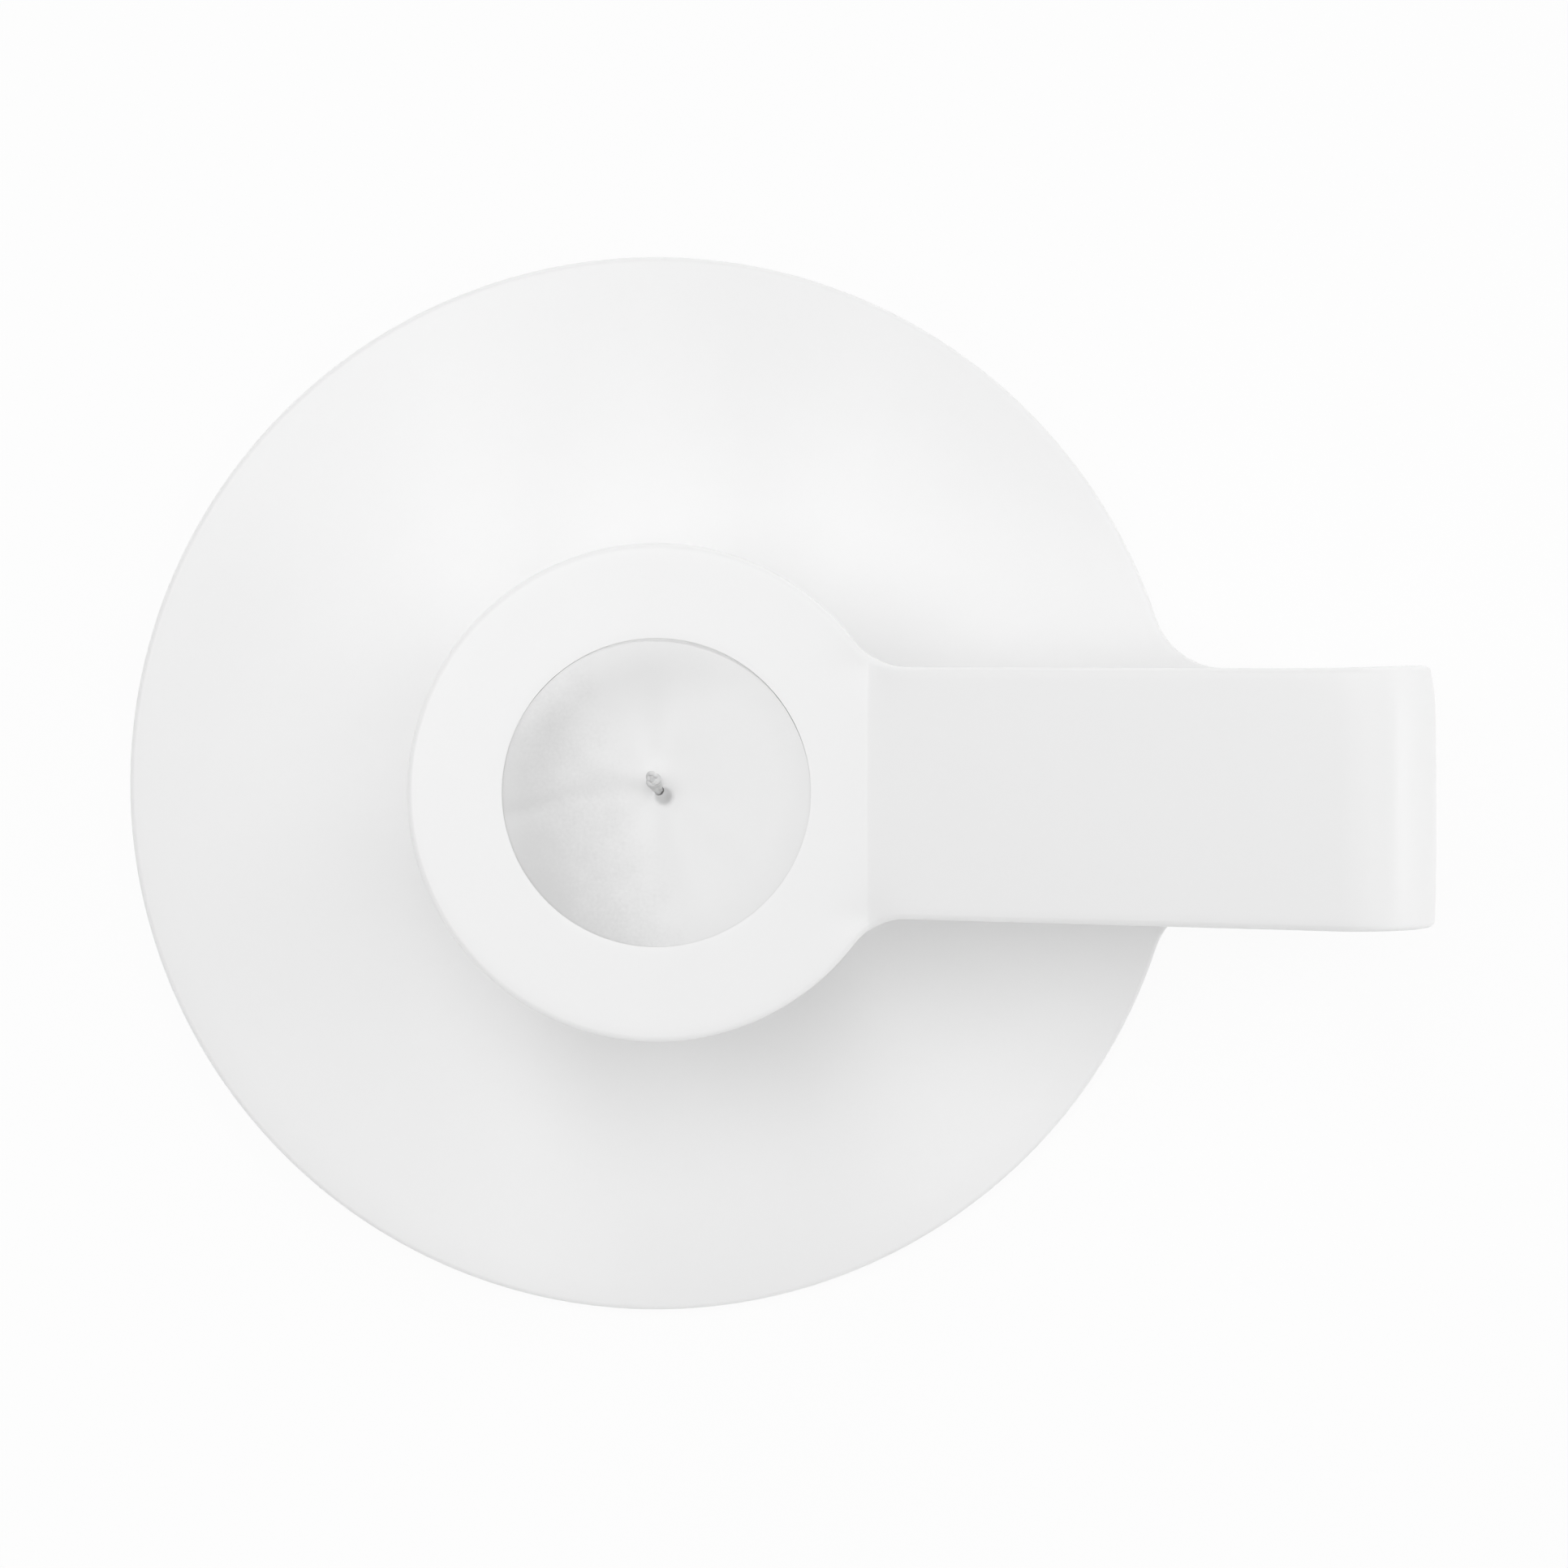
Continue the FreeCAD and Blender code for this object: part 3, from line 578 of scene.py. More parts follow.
def build_wax():
    """Turn the wax's profile: bore, top, shoulder, side, bevel, base and the tab's pocket.

    A point is its radius times (cosine, sine) of its angle. The side's radius is the wax's,
    less a bell curve of the angle where the gap is open. The bore follows the wick and opens
    as a funnel, and the rings of the top blend from the funnel to the shoulder.
    """
    angle = np.arange(AROUND) * 2 * math.pi / AROUND
    ray = np.stack([np.cos(angle), np.sin(angle)], axis=-1)
    off_side = np.abs((angle - OPEN_TOWARDS + math.pi) % (2 * math.pi) - math.pi)
    side_radius = wax_radius - OPEN_GAP * hill(off_side, OPEN_REACH)
    flat_radius = side_radius - SHOULDER

    bore_top = ring_top - HOLLOW_DEPTH
    bore_share = np.linspace(1, 0, BORE_STEPS) ** BORE_CROWDING_POWER
    bore_z = bore_top - (bore_top - neck_roof) * bore_share
    opening = np.clip(1 - (bore_top - bore_z) / FUNNEL_DEPTH, 0, 1) ** 2
    bore_radius = BORE_RADIUS + (FUNNEL_RADIUS - BORE_RADIUS) * opening
    bore_middle = wick_drift(bore_z) + opening[:, None] * FUNNEL_SHIFT
    bore = raised(bore_radius[:, None, None] * ray + bore_middle[:, None], bore_z[:, None])

    share = np.linspace(0, 1, TOP_RINGS) ** TOP_CROWDING_POWER
    radius = FUNNEL_RADIUS + (flat_radius - FUNNEL_RADIUS) * share[:, None]
    top = radius[..., None] * ray + (1 - share)[:, None, None] * (WICK_EXIT + FUNNEL_SHIFT)
    top = raised(top, wax_top(top[..., 0], top[..., 1]))

    rim_height = top[-1, :, 2]
    turn_down = np.linspace(0, math.pi / 2, SHOULDER_STEPS)[1:, None]
    outer_radius = flat_radius + SHOULDER * np.sin(turn_down)
    drop = SHOULDER * (1 - np.cos(turn_down))
    shoulder = raised(outer_radius[..., None] * ray, rim_height - drop)

    side_share = np.linspace(0, 1, SIDE_RINGS)[1:, None]
    side_z = (rim_height - SHOULDER) * (1 - side_share) + (base_z + BASE_BEVEL) * side_share
    side_ray = np.broadcast_to(side_radius[:, None] * ray, side_z.shape + (2,))
    side = raised(side_ray, side_z)

    under = [
        (wax_radius - BASE_BEVEL, base_z),
        (tab_wall, base_z),
        (tab_wall, tab_roof),
        (neck_wall, tab_roof),
        (neck_wall, neck_roof),
    ]
    pocket = np.stack([raised(radius * ray, z) for radius, z in under])
    points = np.concatenate([bore, top, shoulder, side, pocket])
    faces = grid_faces(len(points), AROUND, round_rows=True, round_columns=True)
    return mesh_piece("wax_body", [(points, faces)], smooth_angle=WAX_SHARP_ANGLE)


wax_body = build_wax()
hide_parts("candle_wax")
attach(wax_body, "candle")

# %% [markdown]
# ## The wick
#
# A candle's wick is a braid laid round a core: strands that run round it one way pass over
# and under strands that run the other way. Each strand here is a tube along a helix about
# the wick's path, and the helix swings in and out as the strand dives under its partners.
# Above the wax the path leans over, the braid opens a little, and it ends in a cut, where
# each strand stops at its own length. The cut end shows as a pale rim round a dark hollow
# in the photo, and that comes by itself from a core that stops a little short of the cut.
# %% The wick's path
WICK_TIP = np.array([-0.45, 2.0, 51.7]) * MM
WICK_KNEE = np.array([-0.5, 1.75, 48.4]) * MM
PATH_STEPS = 220


def wick_path():
    """The middle of the wick: straight up through the wax, then a curve over to the tip.

    The curve is the weighted mean of its start, its knee and its tip, with the weights
    (1 - w) squared, 2 w (1 - w) and w squared.
    """
    exit_z = ring_top - HOLLOW_DEPTH
    low_z = np.linspace(base_z, exit_z, 2 * PATH_STEPS // 3)
    stem = np.concatenate([wick_drift(low_z), low_z[:, None]], axis=1)
    w = np.linspace(0, 1, PATH_STEPS // 3 + 1)[1:, None]
    bow = stem[-1] * (1 - w) ** 2 + WICK_KNEE * 2 * w * (1 - w) + WICK_TIP * w**2
    return np.concatenate([stem, bow])


print("the wick's path has", len(wick_path()), "points")

# %% Strands round the path
STRANDS_EACH_WAY = 3
BRAID_PITCH = 3.4 * MM
BRAID_RADIUS = 0.42 * MM
BRAID_SWING = 0.09 * MM
STRAND_WIDE = 0.36 * MM
STRAND_THICK = 0.22 * MM
STRAND_SIDES = 12
STRAND_ROUNDING = 0.35 * MM
STRAND_TIP_LEAST = 0.02
CUT_SPREAD = 0.4 * MM
CUT_PHASE_STRAND = 5.1
CUT_PHASE_WAY = 2.3
FREE_GROWTH = 0.5
WICK_SHARP_ANGLE = math.radians(70)
CORE_RADIUS = 0.36 * MM
CORE_SWELL = 0.05 * MM
CORE_SHORTER = 0.45 * MM


def unit(vectors):
    """Give each vector a length of one."""
    return vectors / np.linalg.norm(vectors, axis=-1, keepdims=True)


def tube(line, side_way, wide, thick):
    """Carry an oval along a line, as a wall and two caps.

    Each point is the line's, plus the cosine times the half width across and the sine times
    the half thickness along the given side way.
    """
    ahead = unit(np.gradient(line, axis=0))
    up = unit(side_way - (side_way * ahead).sum(axis=1, keepdims=True) * ahead)
    across = np.cross(ahead, up)
    around = np.arange(STRAND_SIDES) * 2 * math.pi / STRAND_SIDES
    oval = np.cos(around)[None, :, None] * across[:, None] * wide[:, None, None]
    oval = oval + np.sin(around)[None, :, None] * up[:, None] * thick[:, None, None]
    points = line[:, None] + oval
    cap = [list(range(STRAND_SIDES))]
    wall = grid_faces(*points.shape[:2], round_columns=True)
    return [(points, wall), (points[0], cap), (points[-1], cap)]


def build_wick():
    """Braid the strands: each turns one way or the other and swings over and under.

    Above the wax the braid opens, so its radius and its strands grow by a share that eases
    in from the wax to the cut, and each strand closes round at its own end. The core is a
    tube along the path that swells and narrows once in each half pitch.
    """
    path = wick_path()
    length = np.concatenate([[0.0], np.cumsum(np.linalg.norm(np.diff(path, axis=0), axis=1))])
    ahead = unit(np.gradient(path, axis=0))
    east = unit(np.array([1.0, 0.0, 0.0]) - ahead[:, :1] * ahead)
    north = np.cross(ahead, east)
    free = np.clip((path[:, 2] - ring_top) / (WICK_TIP[2] - ring_top), 0, 1)
    growth = 1 + FREE_GROWTH * free * (2 - free)
    core = length <= length[-1] - CORE_SHORTER
    core_radius = CORE_RADIUS + CORE_SWELL * np.cos(4 * math.pi * length[core] / BRAID_PITCH)
    core_radius = core_radius * growth[core]
    patches = tube(path[core], east[core], core_radius, core_radius)
    for way in (1, -1):
        for k in range(STRANDS_EACH_WAY):
            place = (k + (way < 0) * 0.5) / STRANDS_EACH_WAY
            cut_phase = CUT_PHASE_STRAND * k + CUT_PHASE_WAY * way
            shorter = CUT_SPREAD * (0.5 + 0.5 * math.sin(cut_phase))
            keep = length <= length[-1] - shorter
            turned = 2 * math.pi * (way * length[keep] / BRAID_PITCH + place)
            crossing = STRANDS_EACH_WAY * 2 * math.pi * length[keep] / BRAID_PITCH
            swing = BRAID_SWING * way * np.cos(crossing)
            outward = np.cos(turned)[:, None] * east[keep] + np.sin(turned)[:, None] * north[keep]
            line = path[keep] + (growth[keep] * (BRAID_RADIUS + swing))[:, None] * outward
            left = np.clip((length[keep][-1] - length[keep]) / STRAND_ROUNDING, 0, 1)
            closing = np.sqrt(np.clip(1 - (1 - left) ** 2, STRAND_TIP_LEAST, 1)) * growth[keep]
            patches += tube(line, outward, STRAND_WIDE * closing, STRAND_THICK * closing)
    return mesh_piece("braided_wick", patches, smooth_angle=WICK_SHARP_ANGLE)


braided_wick = build_wick()
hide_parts("wick")
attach(braided_wick, "candle")

# %% [markdown]
# ## The finishes
#
# No surface here is printed or patterned, so what makes it real is small: powder paint flows
# into a faint orange peel as it bakes, wax sets with a fine grain, foam rubber has pores and
# tin plate is a little uneven. Two effects serve all of them and are built once as node
# groups: one lets a tone drift in soft clouds, and one gives a fine grain as a height and as
# a change of roughness. Both read object coordinates, so they stay on the piece when it
# moves.
# %% Two shader groups: drifting tone and fine grain
NOISE_MIDDLE = 0.5
CLOUD_DETAIL = 3.0
COARSE_DETAIL = 1.0
FINE_RATIO = 3.3
FINE_DETAIL = 2.0
FINE_HEIGHT = 0.25


def new_group(name, inputs, outputs):
    """Start a shader group with named inputs and outputs, and give its two end nodes."""
    group = bpy.data.node_groups.new(name, "ShaderNodeTree")
    for label, kind, value in inputs:
        group.interface.new_socket(label, in_out="INPUT", socket_type=kind).default_value = value
    for label, kind in outputs:
        group.interface.new_socket(label, in_out="OUTPUT", socket_type=kind)
    return group, group.nodes.new("NodeGroupInput"), group.nodes.new("NodeGroupOutput")


def math_node(tree, operation, first, second):
    """Add one step of shader maths; each side is a socket or a plain number."""
    node = tree.nodes.new("ShaderNodeMath")
    node.operation = operation
    for socket, value in zip(node.inputs, (first, second)):
        if isinstance(value, (int, float)):
            socket.default_value = value
        else:
            tree.links.new(value, socket)
    return node.outputs[0]


def object_place(tree):
    """The socket that gives a place on the piece in the piece's own coordinates."""
    return tree.nodes.new("ShaderNodeTexCoord").outputs["Object"]


def noise_node(tree, scale, detail):
    """Add a noise pattern on object coordinates; its scale is a socket or a number."""
    noise = tree.nodes.new("ShaderNodeTexNoise")
    noise.inputs["Detail"].default_value = detail
    tree.links.new(object_place(tree), noise.inputs["Vector"])
    if isinstance(scale, (int, float)):
        noise.inputs["Scale"].default_value = scale
    else:
        tree.links.new(scale, noise.inputs["Scale"])
    return noise.outputs["Fac"]


def scaled_color(tree, color, factor):
    """Multiply a colour by a factor; both are sockets."""
    scaled = tree.nodes.new("ShaderNodeVectorMath")
    scaled.operation = "SCALE"
    tree.links.new(color, scaled.inputs[0])
    tree.links.new(factor, scaled.inputs["Scale"])
    return scaled.outputs[0]


def drifting_tone():
    """Colour times one plus the amount times a slow noise about zero."""
    inputs = [
        ("Color", "NodeSocketColor", (0.8, 0.8, 0.8, 1)),
        ("Scale", "NodeSocketFloat", 30.0),
        ("Amount", "NodeSocketFloat", 0.02),
    ]
    group, start, end = new_group("drifting_tone", inputs, [("Color", "NodeSocketColor")])
    cloud = noise_node(group, start.outputs["Scale"], CLOUD_DETAIL)
    about_zero = math_node(group, "SUBTRACT", cloud, NOISE_MIDDLE)
    change = math_node(group, "MULTIPLY", about_zero, start.outputs["Amount"])
    toned = scaled_color(group, start.outputs["Color"], math_node(group, "ADD", change, 1.0))
    group.links.new(toned, end.inputs["Color"])
    return group


def fine_grain():
    """A height from two sizes of noise, and a roughness that follows the finer one."""
    inputs = [
        ("Scale", "NodeSocketFloat", 1500.0),
        ("Roughness", "NodeSocketFloat", 0.45),
        ("Roughness Change", "NodeSocketFloat", 0.1),
    ]
    outputs = [("Height", "NodeSocketFloat"), ("Roughness", "NodeSocketFloat")]
    group, start, end = new_group("fine_grain", inputs, outputs)
    coarse = noise_node(group, start.outputs["Scale"], COARSE_DETAIL)
    fine_scale = math_node(group, "MULTIPLY", start.outputs["Scale"], FINE_RATIO)
    fine = noise_node(group, fine_scale, FINE_DETAIL)
    fine_height = math_node(group, "MULTIPLY", fine, FINE_HEIGHT)
    group.links.new(math_node(group, "ADD", coarse, fine_height), end.inputs["Height"])
    about_zero = math_node(group, "SUBTRACT", fine, NOISE_MIDDLE)
    change = math_node(group, "MULTIPLY", about_zero, start.outputs["Roughness Change"])
    total = math_node(group, "ADD", change, start.outputs["Roughness"])
    group.links.new(total, end.inputs["Roughness"])
    return group


groups = {"tone": drifting_tone(), "grain": fine_grain()}
print("shader groups:", [group.name for group in groups.values()])

# %% One function for a finish, and the powder coat
def new_finish(name, color, clouds, grain, bump_depth, color_factor=None, values=None):
    """Make a material: the tone group feeds its colour, the grain group its roughness and bump.

    clouds is (scale, amount), grain is (scale, roughness, change), and the bump's depth is
    in metres. color_factor is a function that adds its nodes to the material's tree and
    gives the socket that the colour is multiplied by. values are more of the shader's inputs.
    """
    material = bpy.data.materials.new(name)
    material.use_nodes = True
    tree = material.node_tree
    shader = tree.nodes["Principled BSDF"]
    tone = tree.nodes.new("ShaderNodeGroup")
    tone.node_tree = groups["tone"]
    tone.inputs["Color"].default_value = (*color, 1)
    tone.inputs["Scale"].default_value, tone.inputs["Amount"].default_value = clouds
    toned = tone.outputs["Color"]
    if color_factor is not None:
        toned = scaled_color(tree, toned, color_factor(tree))
    tree.links.new(toned, shader.inputs["Base Color"])
    speck = tree.nodes.new("ShaderNodeGroup")
    speck.node_tree = groups["grain"]
    for label, value in zip(("Scale", "Roughness", "Roughness Change"), grain):
        speck.inputs[label].default_value = value
    tree.links.new(speck.outputs["Roughness"], shader.inputs["Roughness"])
    bump = tree.nodes.new("ShaderNodeBump")
    bump.inputs["Strength"].default_value = 1.0
    bump.inputs["Distance"].default_value = bump_depth
    tree.links.new(speck.outputs["Height"], bump.inputs["Height"])
    tree.links.new(bump.outputs["Normal"], shader.inputs["Normal"])
    for label, value in (values or {}).items():
        shader.inputs[label].default_value = value
    return material


def wear_finish(piece, material):
    """Give a piece one finish in all of its material slots."""
    if not piece.data.materials:
        piece.data.materials.append(material)
    for slot in piece.material_slots:
        slot.material = material
    print(piece.name, "wears", material.name)


COAT_WHITE = (0.86, 0.86, 0.86)
COAT_GLOSS = 0.36
powder_coat = new_finish(
    "powder_coat_white", COAT_WHITE, clouds=(45.0, 0.012), grain=(900.0, 0.33, 0.10),
    bump_depth=0.004 * MM, values={"Specular IOR Level": COAT_GLOSS})
wear_finish(folded_sheet, powder_coat)

# %% [markdown]
# Wax lets light in and scatters it, so its shadows are soft and its tone is even. Painted
# shade darkens the top on the side that has sunk, with a border made ragged by noise and a
# grain of fine crystals. To the upper left the painted shade is a band that leaves the rim
# itself pale, and painted shade darkens the small hollow at the wick too. All of this is one
# mask, worked out from a place's share of the radius and its share towards three directions.
# %% A mask of painted shade on the wax
PAINTED_SHADE_TOWARDS = math.radians(200)
PALE_TOWARDS = math.radians(115)
LEFT_TOWARDS = math.radians(165)

# Where a part of the mask begins and where it is full, as shares of the wax's radius.
SIDE_SHARES = (0.05, 0.95)
UPPER_SHARES = (0.3, 0.8)
RIM_SHARES = (0.75, 1.0)
BAND_SHARES = (0.15, 0.6)
LEFT_SHARES = (0.6, 0.95)

# The same for the hollow, as shares of the hollow's reach.
HOLLOW_SHARES = (0.75, 1.15)

# How much painted shade each part adds to the mask, or takes from it as painted light.
BAND_PAINTED_SHADE = 0.45
RIM_PAINTED_SHADE = 0.12
LEFT_RIM_PAINTED_LIGHT = 0.35
HOLLOW_PAINTED_SHADE = 1.1

# Two noises make the painted shade's borders ragged: each has its scale in a metre, its detail and
# its share.
RAGGED_CLOUDS = (260.0, 4.0, 0.35)
RAGGED_SPECKS = (2200.0, 1.0, 0.25)


def share_towards(tree, place, angle):
    """How far a place lies towards an angle, as a share of the wax's radius."""
    along = tree.nodes.new("ShaderNodeVectorMath")
    along.operation = "DOT_PRODUCT"
    along.inputs[1].default_value = (math.cos(angle), math.sin(angle), 0)
    tree.links.new(place, along.inputs[0])
    return math_node(tree, "DIVIDE", along.outputs["Value"], wax_radius)


def eased(tree, value, low, high):
    """Turn a value into a soft step from nothing at low to one at high."""
    ease = tree.nodes.new("ShaderNodeMapRange")
    ease.interpolation_type = "SMOOTHSTEP"
    ease.inputs["From Min"].default_value = low
    ease.inputs["From Max"].default_value = high
    tree.links.new(value, ease.inputs["Value"])
    return ease.outputs[0]


def ragged_noise(tree, scale, detail, share):
    """A noise about zero, times its share."""
    about_zero = math_node(tree, "SUBTRACT", noise_node(tree, scale, detail), NOISE_MIDDLE)
    return math_node(tree, "MULTIPLY", about_zero, share)


def painted_shade_mask(tree):
    """A mask of painted shade on the wax, as a sum of its parts.

    It is the sunken side's painted shade, plus the painted band less the rim where a place lies
    to the upper left, plus a little painted shade at the rim, less painted light on the rim on
    the left, plus painted shade in the hollow at the wick.
    """
    def add(first, second):
        return math_node(tree, "ADD", first, second)

    def take(first, second):
        return math_node(tree, "SUBTRACT", first, second)

    def times(first, second):
        return math_node(tree, "MULTIPLY", first, second)

    place = object_place(tree)
    flat = tree.nodes.new("ShaderNodeVectorMath")
    flat.operation = "MULTIPLY"
    flat.inputs[1].default_value = (1, 1, 0)
    tree.links.new(place, flat.inputs[0])
    length = tree.nodes.new("ShaderNodeVectorMath")
    length.operation = "LENGTH"
    tree.links.new(flat.outputs[0], length.inputs[0])
    from_hollow = tree.nodes.new("ShaderNodeVectorMath")
    from_hollow.operation = "DISTANCE"
    from_hollow.inputs[1].default_value = (*HOLLOW_PLACE, 0)
    tree.links.new(flat.outputs[0], from_hollow.inputs[0])

    radial = math_node(tree, "DIVIDE", length.outputs["Value"], wax_radius)
    hollow_share = math_node(tree, "DIVIDE", from_hollow.outputs["Value"], HOLLOW_REACH)
    ragged = add(ragged_noise(tree, *RAGGED_CLOUDS), ragged_noise(tree, *RAGGED_SPECKS))
    side = eased(tree, add(share_towards(tree, place, PAINTED_SHADE_TOWARDS), ragged), *SIDE_SHARES)
    upper = eased(tree, share_towards(tree, place, PALE_TOWARDS), *UPPER_SHARES)
    left = eased(tree, share_towards(tree, place, LEFT_TOWARDS), *LEFT_SHARES)
    rim = eased(tree, radial, *RIM_SHARES)
    band = eased(tree, add(radial, ragged), *BAND_SHARES)
    hollow = take(1.0, eased(tree, hollow_share, *HOLLOW_SHARES))

    # Painted shade on the sunken side and in a band, with the rim to the upper left left pale.
    total = add(side, times(take(times(band, BAND_PAINTED_SHADE), times(rim, BAND_PAINTED_SHADE)), upper))
    total = add(total, times(rim, RIM_PAINTED_SHADE))
    total = take(total, times(times(rim, left), LEFT_RIM_PAINTED_LIGHT))
    # Painted shade in the hollow at the wick.
    total = add(total, times(hollow, HOLLOW_PAINTED_SHADE))
    return math_node(tree, "MAXIMUM", total, 0.0)


# %% Wax
WAX_WHITE = (0.815, 0.815, 0.815)
WAX_PAINTED_SHADE = 0.22
WAX_SCATTER = 1.0 * MM
WAX_SCATTER_WEIGHT = 0.15


def wax_painted_shade_factor(tree):
    """One, less the painted shade mask times how much darker the painted shade makes the wax."""
    return math_node(tree, "ADD", math_node(tree, "MULTIPLY", painted_shade_mask(tree), -WAX_PAINTED_SHADE), 1.0)


wax_scatter = {
    "Subsurface Weight": WAX_SCATTER_WEIGHT,
    "Subsurface Radius": (1.0, 1.0, 1.0),
    "Subsurface Scale": WAX_SCATTER,
}
# The wax's colour is multiplied by the mask of painted shade.
paraffin = new_finish(
    "paraffin_wax", WAX_WHITE, clouds=(120.0, 0.03), grain=(1400.0, 0.5, 0.1),
    bump_depth=0.012 * MM, color_factor=wax_painted_shade_factor, values=wax_scatter)
wear_finish(wax_body, paraffin)

# %% [markdown]
# The small finishes: waxed cotton that is paler at its cut tip, bright tin plate, and foam
# rubber. The tab and the pad are the frame's own nodes, because their shape is right, and
# only get a finish here.
# %% Cotton, tin and rubber
COTTON_GREY = (0.56, 0.56, 0.56)
TIP_PALER = 0.25
TIP_FADE = (50.7 * MM, 51.7 * MM)
TIN = (0.62, 0.62, 0.63)
RUBBER = (0.30, 0.30, 0.30)
RUBBER_GLOSS = 0.3


def cotton_factor(tree):
    """One, plus a soft step with the height that ends at the wick's tip."""
    axes = tree.nodes.new("ShaderNodeSeparateXYZ")
    tree.links.new(object_place(tree), axes.inputs[0])
    at_tip = eased(tree, axes.outputs["Z"], *TIP_FADE)
    return math_node(tree, "ADD", math_node(tree, "MULTIPLY", at_tip, TIP_PALER), 1.0)


cotton = new_finish(
    "waxed_cotton", COTTON_GREY, clouds=(900.0, 0.5), grain=(6000.0, 0.62, 0.2),
    bump_depth=0.03 * MM, color_factor=cotton_factor)
wear_finish(braided_wick, cotton)

tin = new_finish(
    "tin_plate", TIN, clouds=(300.0, 0.1), grain=(5000.0, 0.34, 0.15),
    bump_depth=0.003 * MM, values={"Metallic": 1.0})
wear_finish(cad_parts["wick_tab"], tin)

rubber = new_finish(
    "foam_rubber", RUBBER, clouds=(80.0, 0.15), grain=(2500.0, 0.85, 0.1),
    bump_depth=0.05 * MM, values={"Specular IOR Level": RUBBER_GLOSS})
wear_finish(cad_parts["foot_pad"], rubber)

# %% [markdown]
# ## Stage and light
#
# The photo's ground is pure white with no horizon. Adding light until a grey floor turns
# white would burn out the object too. So the floor and the world shine white only for the
# rays that come straight from the lens, or by way of a gloss or a glass, and the object is
# lit by the lamps alone. Floor and world glow alike, so no horizon shows between them. The
# floor keeps a small share of its real shading, and with it the object's soft shadow.
# %% White for the lens and for reflections only
WHITE_GLOW = 0.92
FLOOR_GREY = 0.8
FLOOR_ROUGHNESS = 0.9
FLOOR_RADIUS = 3.0
FLOOR_CORNERS = 64


def background_rays(tree):
    """One for a ray from the lens, from a gloss or through glass, and nothing for the rest."""
    path = tree.nodes.new("ShaderNodeLightPath").outputs
    seen = math_node(tree, "MAXIMUM", path["Is Camera Ray"], path["Is Glossy Ray"])
    return math_node(tree, "MAXIMUM", seen, path["Is Transmission Ray"])


floor_material = bpy.data.materials.new("floor_white")
floor_material.use_nodes = True
floor_tree = floor_material.node_tree
floor_shader = floor_tree.nodes["Principled BSDF"]
floor_shader.inputs["Base Color"].default_value = (FLOOR_GREY, FLOOR_GREY, FLOOR_GREY, 1)
floor_shader.inputs["Roughness"].default_value = FLOOR_ROUGHNESS
floor_glow = floor_tree.nodes.new("ShaderNodeEmission")
floor_mix = floor_tree.nodes.new("ShaderNodeMixShader")
glow_share = math_node(floor_tree, "MULTIPLY", background_rays(floor_tree), WHITE_GLOW)
floor_tree.links.new(glow_share, floor_mix.inputs[0])
floor_tree.links.new(floor_shader.outputs[0], floor_mix.inputs[1])
floor_tree.links.new(floor_glow.outputs[0], floor_mix.inputs[2])
floor_tree.links.new(floor_mix.outputs[0], floor_tree.nodes["Material Output"].inputs["Surface"])

world = bpy.data.worlds.new("studio")
bpy.context.scene.world = world
world.use_nodes = True
world_tree = world.node_tree
world_shader = world_tree.nodes["Background"]
world_shader.inputs["Color"].default_value = (1, 1, 1, 1)
world_strength = math_node(world_tree, "MULTIPLY", background_rays(world_tree), WHITE_GLOW)
world_tree.links.new(world_strength, world_shader.inputs["Strength"])
print("floor and world glow with", WHITE_GLOW)

# %% The floor
corner = np.arange(FLOOR_CORNERS) * 2 * math.pi / FLOOR_CORNERS
floor_points = np.stack([np.cos(corner), np.sin(corner), np.zeros(FLOOR_CORNERS)], axis=1)
floor_mesh = bpy.data.meshes.new("floor")
floor_mesh.from_pydata((floor_points * FLOOR_RADIUS).tolist(), [], [list(range(FLOOR_CORNERS))])
floor_mesh.materials.append(floor_material)
floor = bpy.data.objects.new("floor", floor_mesh)
bpy.context.scene.collection.objects.link(floor)
print("a floor of", FLOOR_RADIUS, "m radius with", FLOOR_CORNERS, "corners")

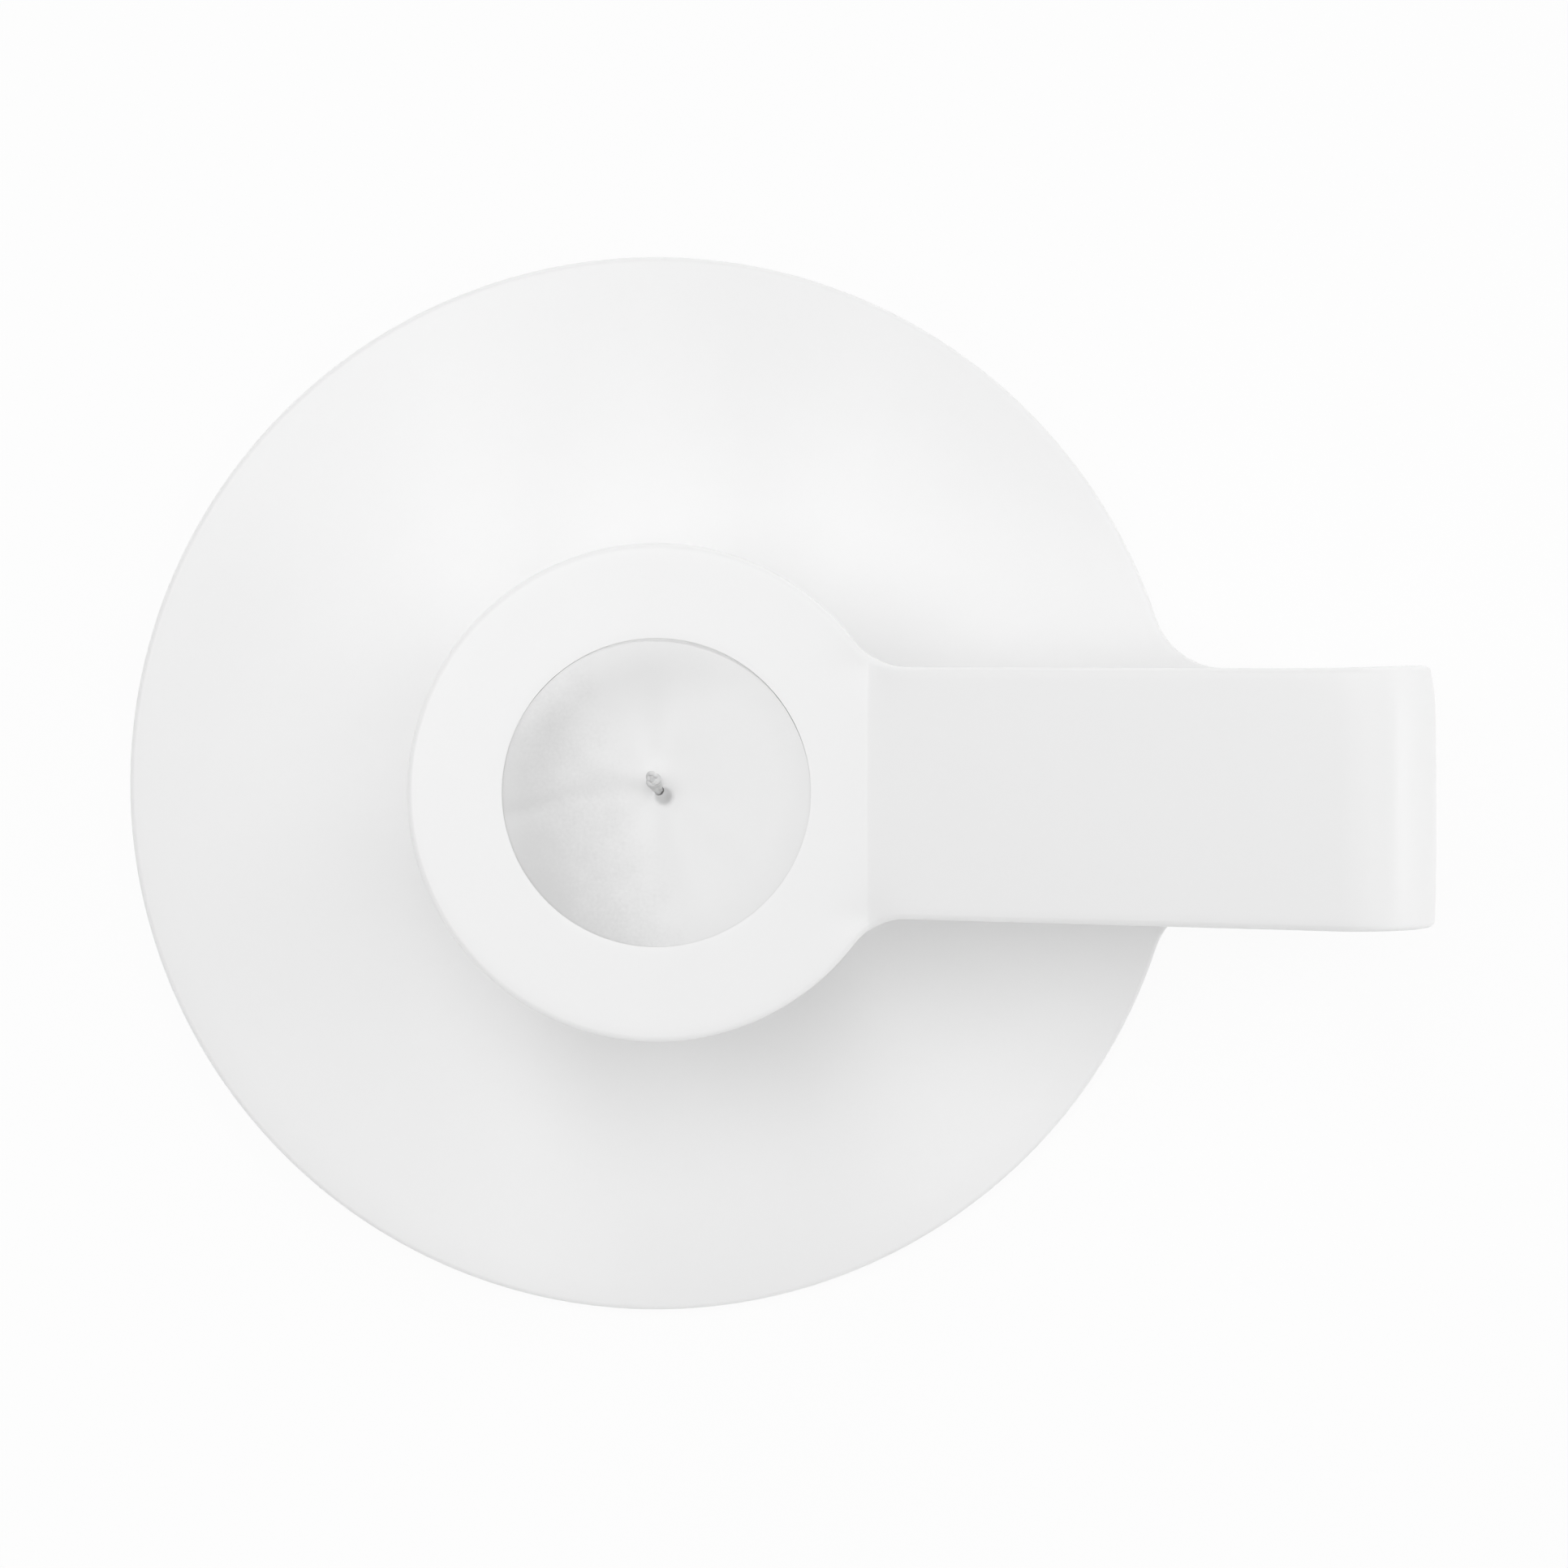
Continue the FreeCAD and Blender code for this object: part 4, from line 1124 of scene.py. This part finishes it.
# %% [markdown]
# The light follows from the photo's shadows. They are soft and lie below the ring and below
# the strap, so most light comes from high up on the upper left. The strap, which leans to
# the left, is darker than the level ring, so a broad light stands low at the right. The rims
# are as bright as the flat of the plate all round, which takes discs low down on every side.
# The low discs light the object but don't show in its gloss: seen from the side, the flat
# plate would mirror them and burn out. They stand well above the floor, so that their light
# ends softly on it. The high discs do show in the gloss, and a small one makes the narrow
# glint along the bend.
# %% Lamps round the object
# A kind of disc is its distance from the object and its width, in metres.
NEAR = (0.5, 0.35)
FAR = (0.75, 0.5)
LOW = (0.9, 0.3)
SMALL = (0.5, 0.12)

# Each lamp: name, azimuth and elevation in degrees, kind, power in watts, shown in a gloss.
panels = [
    ("right_panel", 0, 25, FAR, 1.53, False),
    ("glint_lamp", 0, 34, SMALL, 0.1, True),
    ("upper_right_panel", 45, 25, FAR, 1.02, False),
    ("upper_panel", 100, 15, LOW, 1.8, False),
    ("upper_left_panel", 135, 17, LOW, 0.72, False),
    ("left_panel", 180, 30, NEAR, 0.35, False),
    ("lower_left_panel", 225, 30, NEAR, 0.41, False),
    ("lower_panel", 270, 20, LOW, 1.3, False),
    ("lower_right_panel", 315, 25, FAR, 1.0, False),
    ("high_left_panel", 140, 70, FAR, 1.98, True),
    ("high_right_panel", 45, 70, FAR, 0.66, True),
    ("overhead_panel", 0, 90, FAR, 0.2, True),
]
for name, azimuth, elevation, (distance, width), power, mirrored in panels:
    light = bpy.data.lights.new(name, "AREA")
    light.shape = "DISK"
    light.size = width
    light.energy = power
    lamp = bpy.data.objects.new(name, light)
    lamp.visible_camera = False
    lamp.visible_glossy = mirrored
    bpy.context.scene.collection.objects.link(lamp)
    turn, rise = math.radians(azimuth), math.radians(elevation)
    towards = (math.cos(turn) * math.cos(rise), math.sin(turn) * math.cos(rise), math.sin(rise))
    lamp.location = [distance * part for part in towards]
    lamp.rotation_euler = (-lamp.location).to_track_quat("-Z", "Y").to_euler()

bpy.context.scene.view_settings.view_transform = "Standard"
print(len(panels), "lamps")
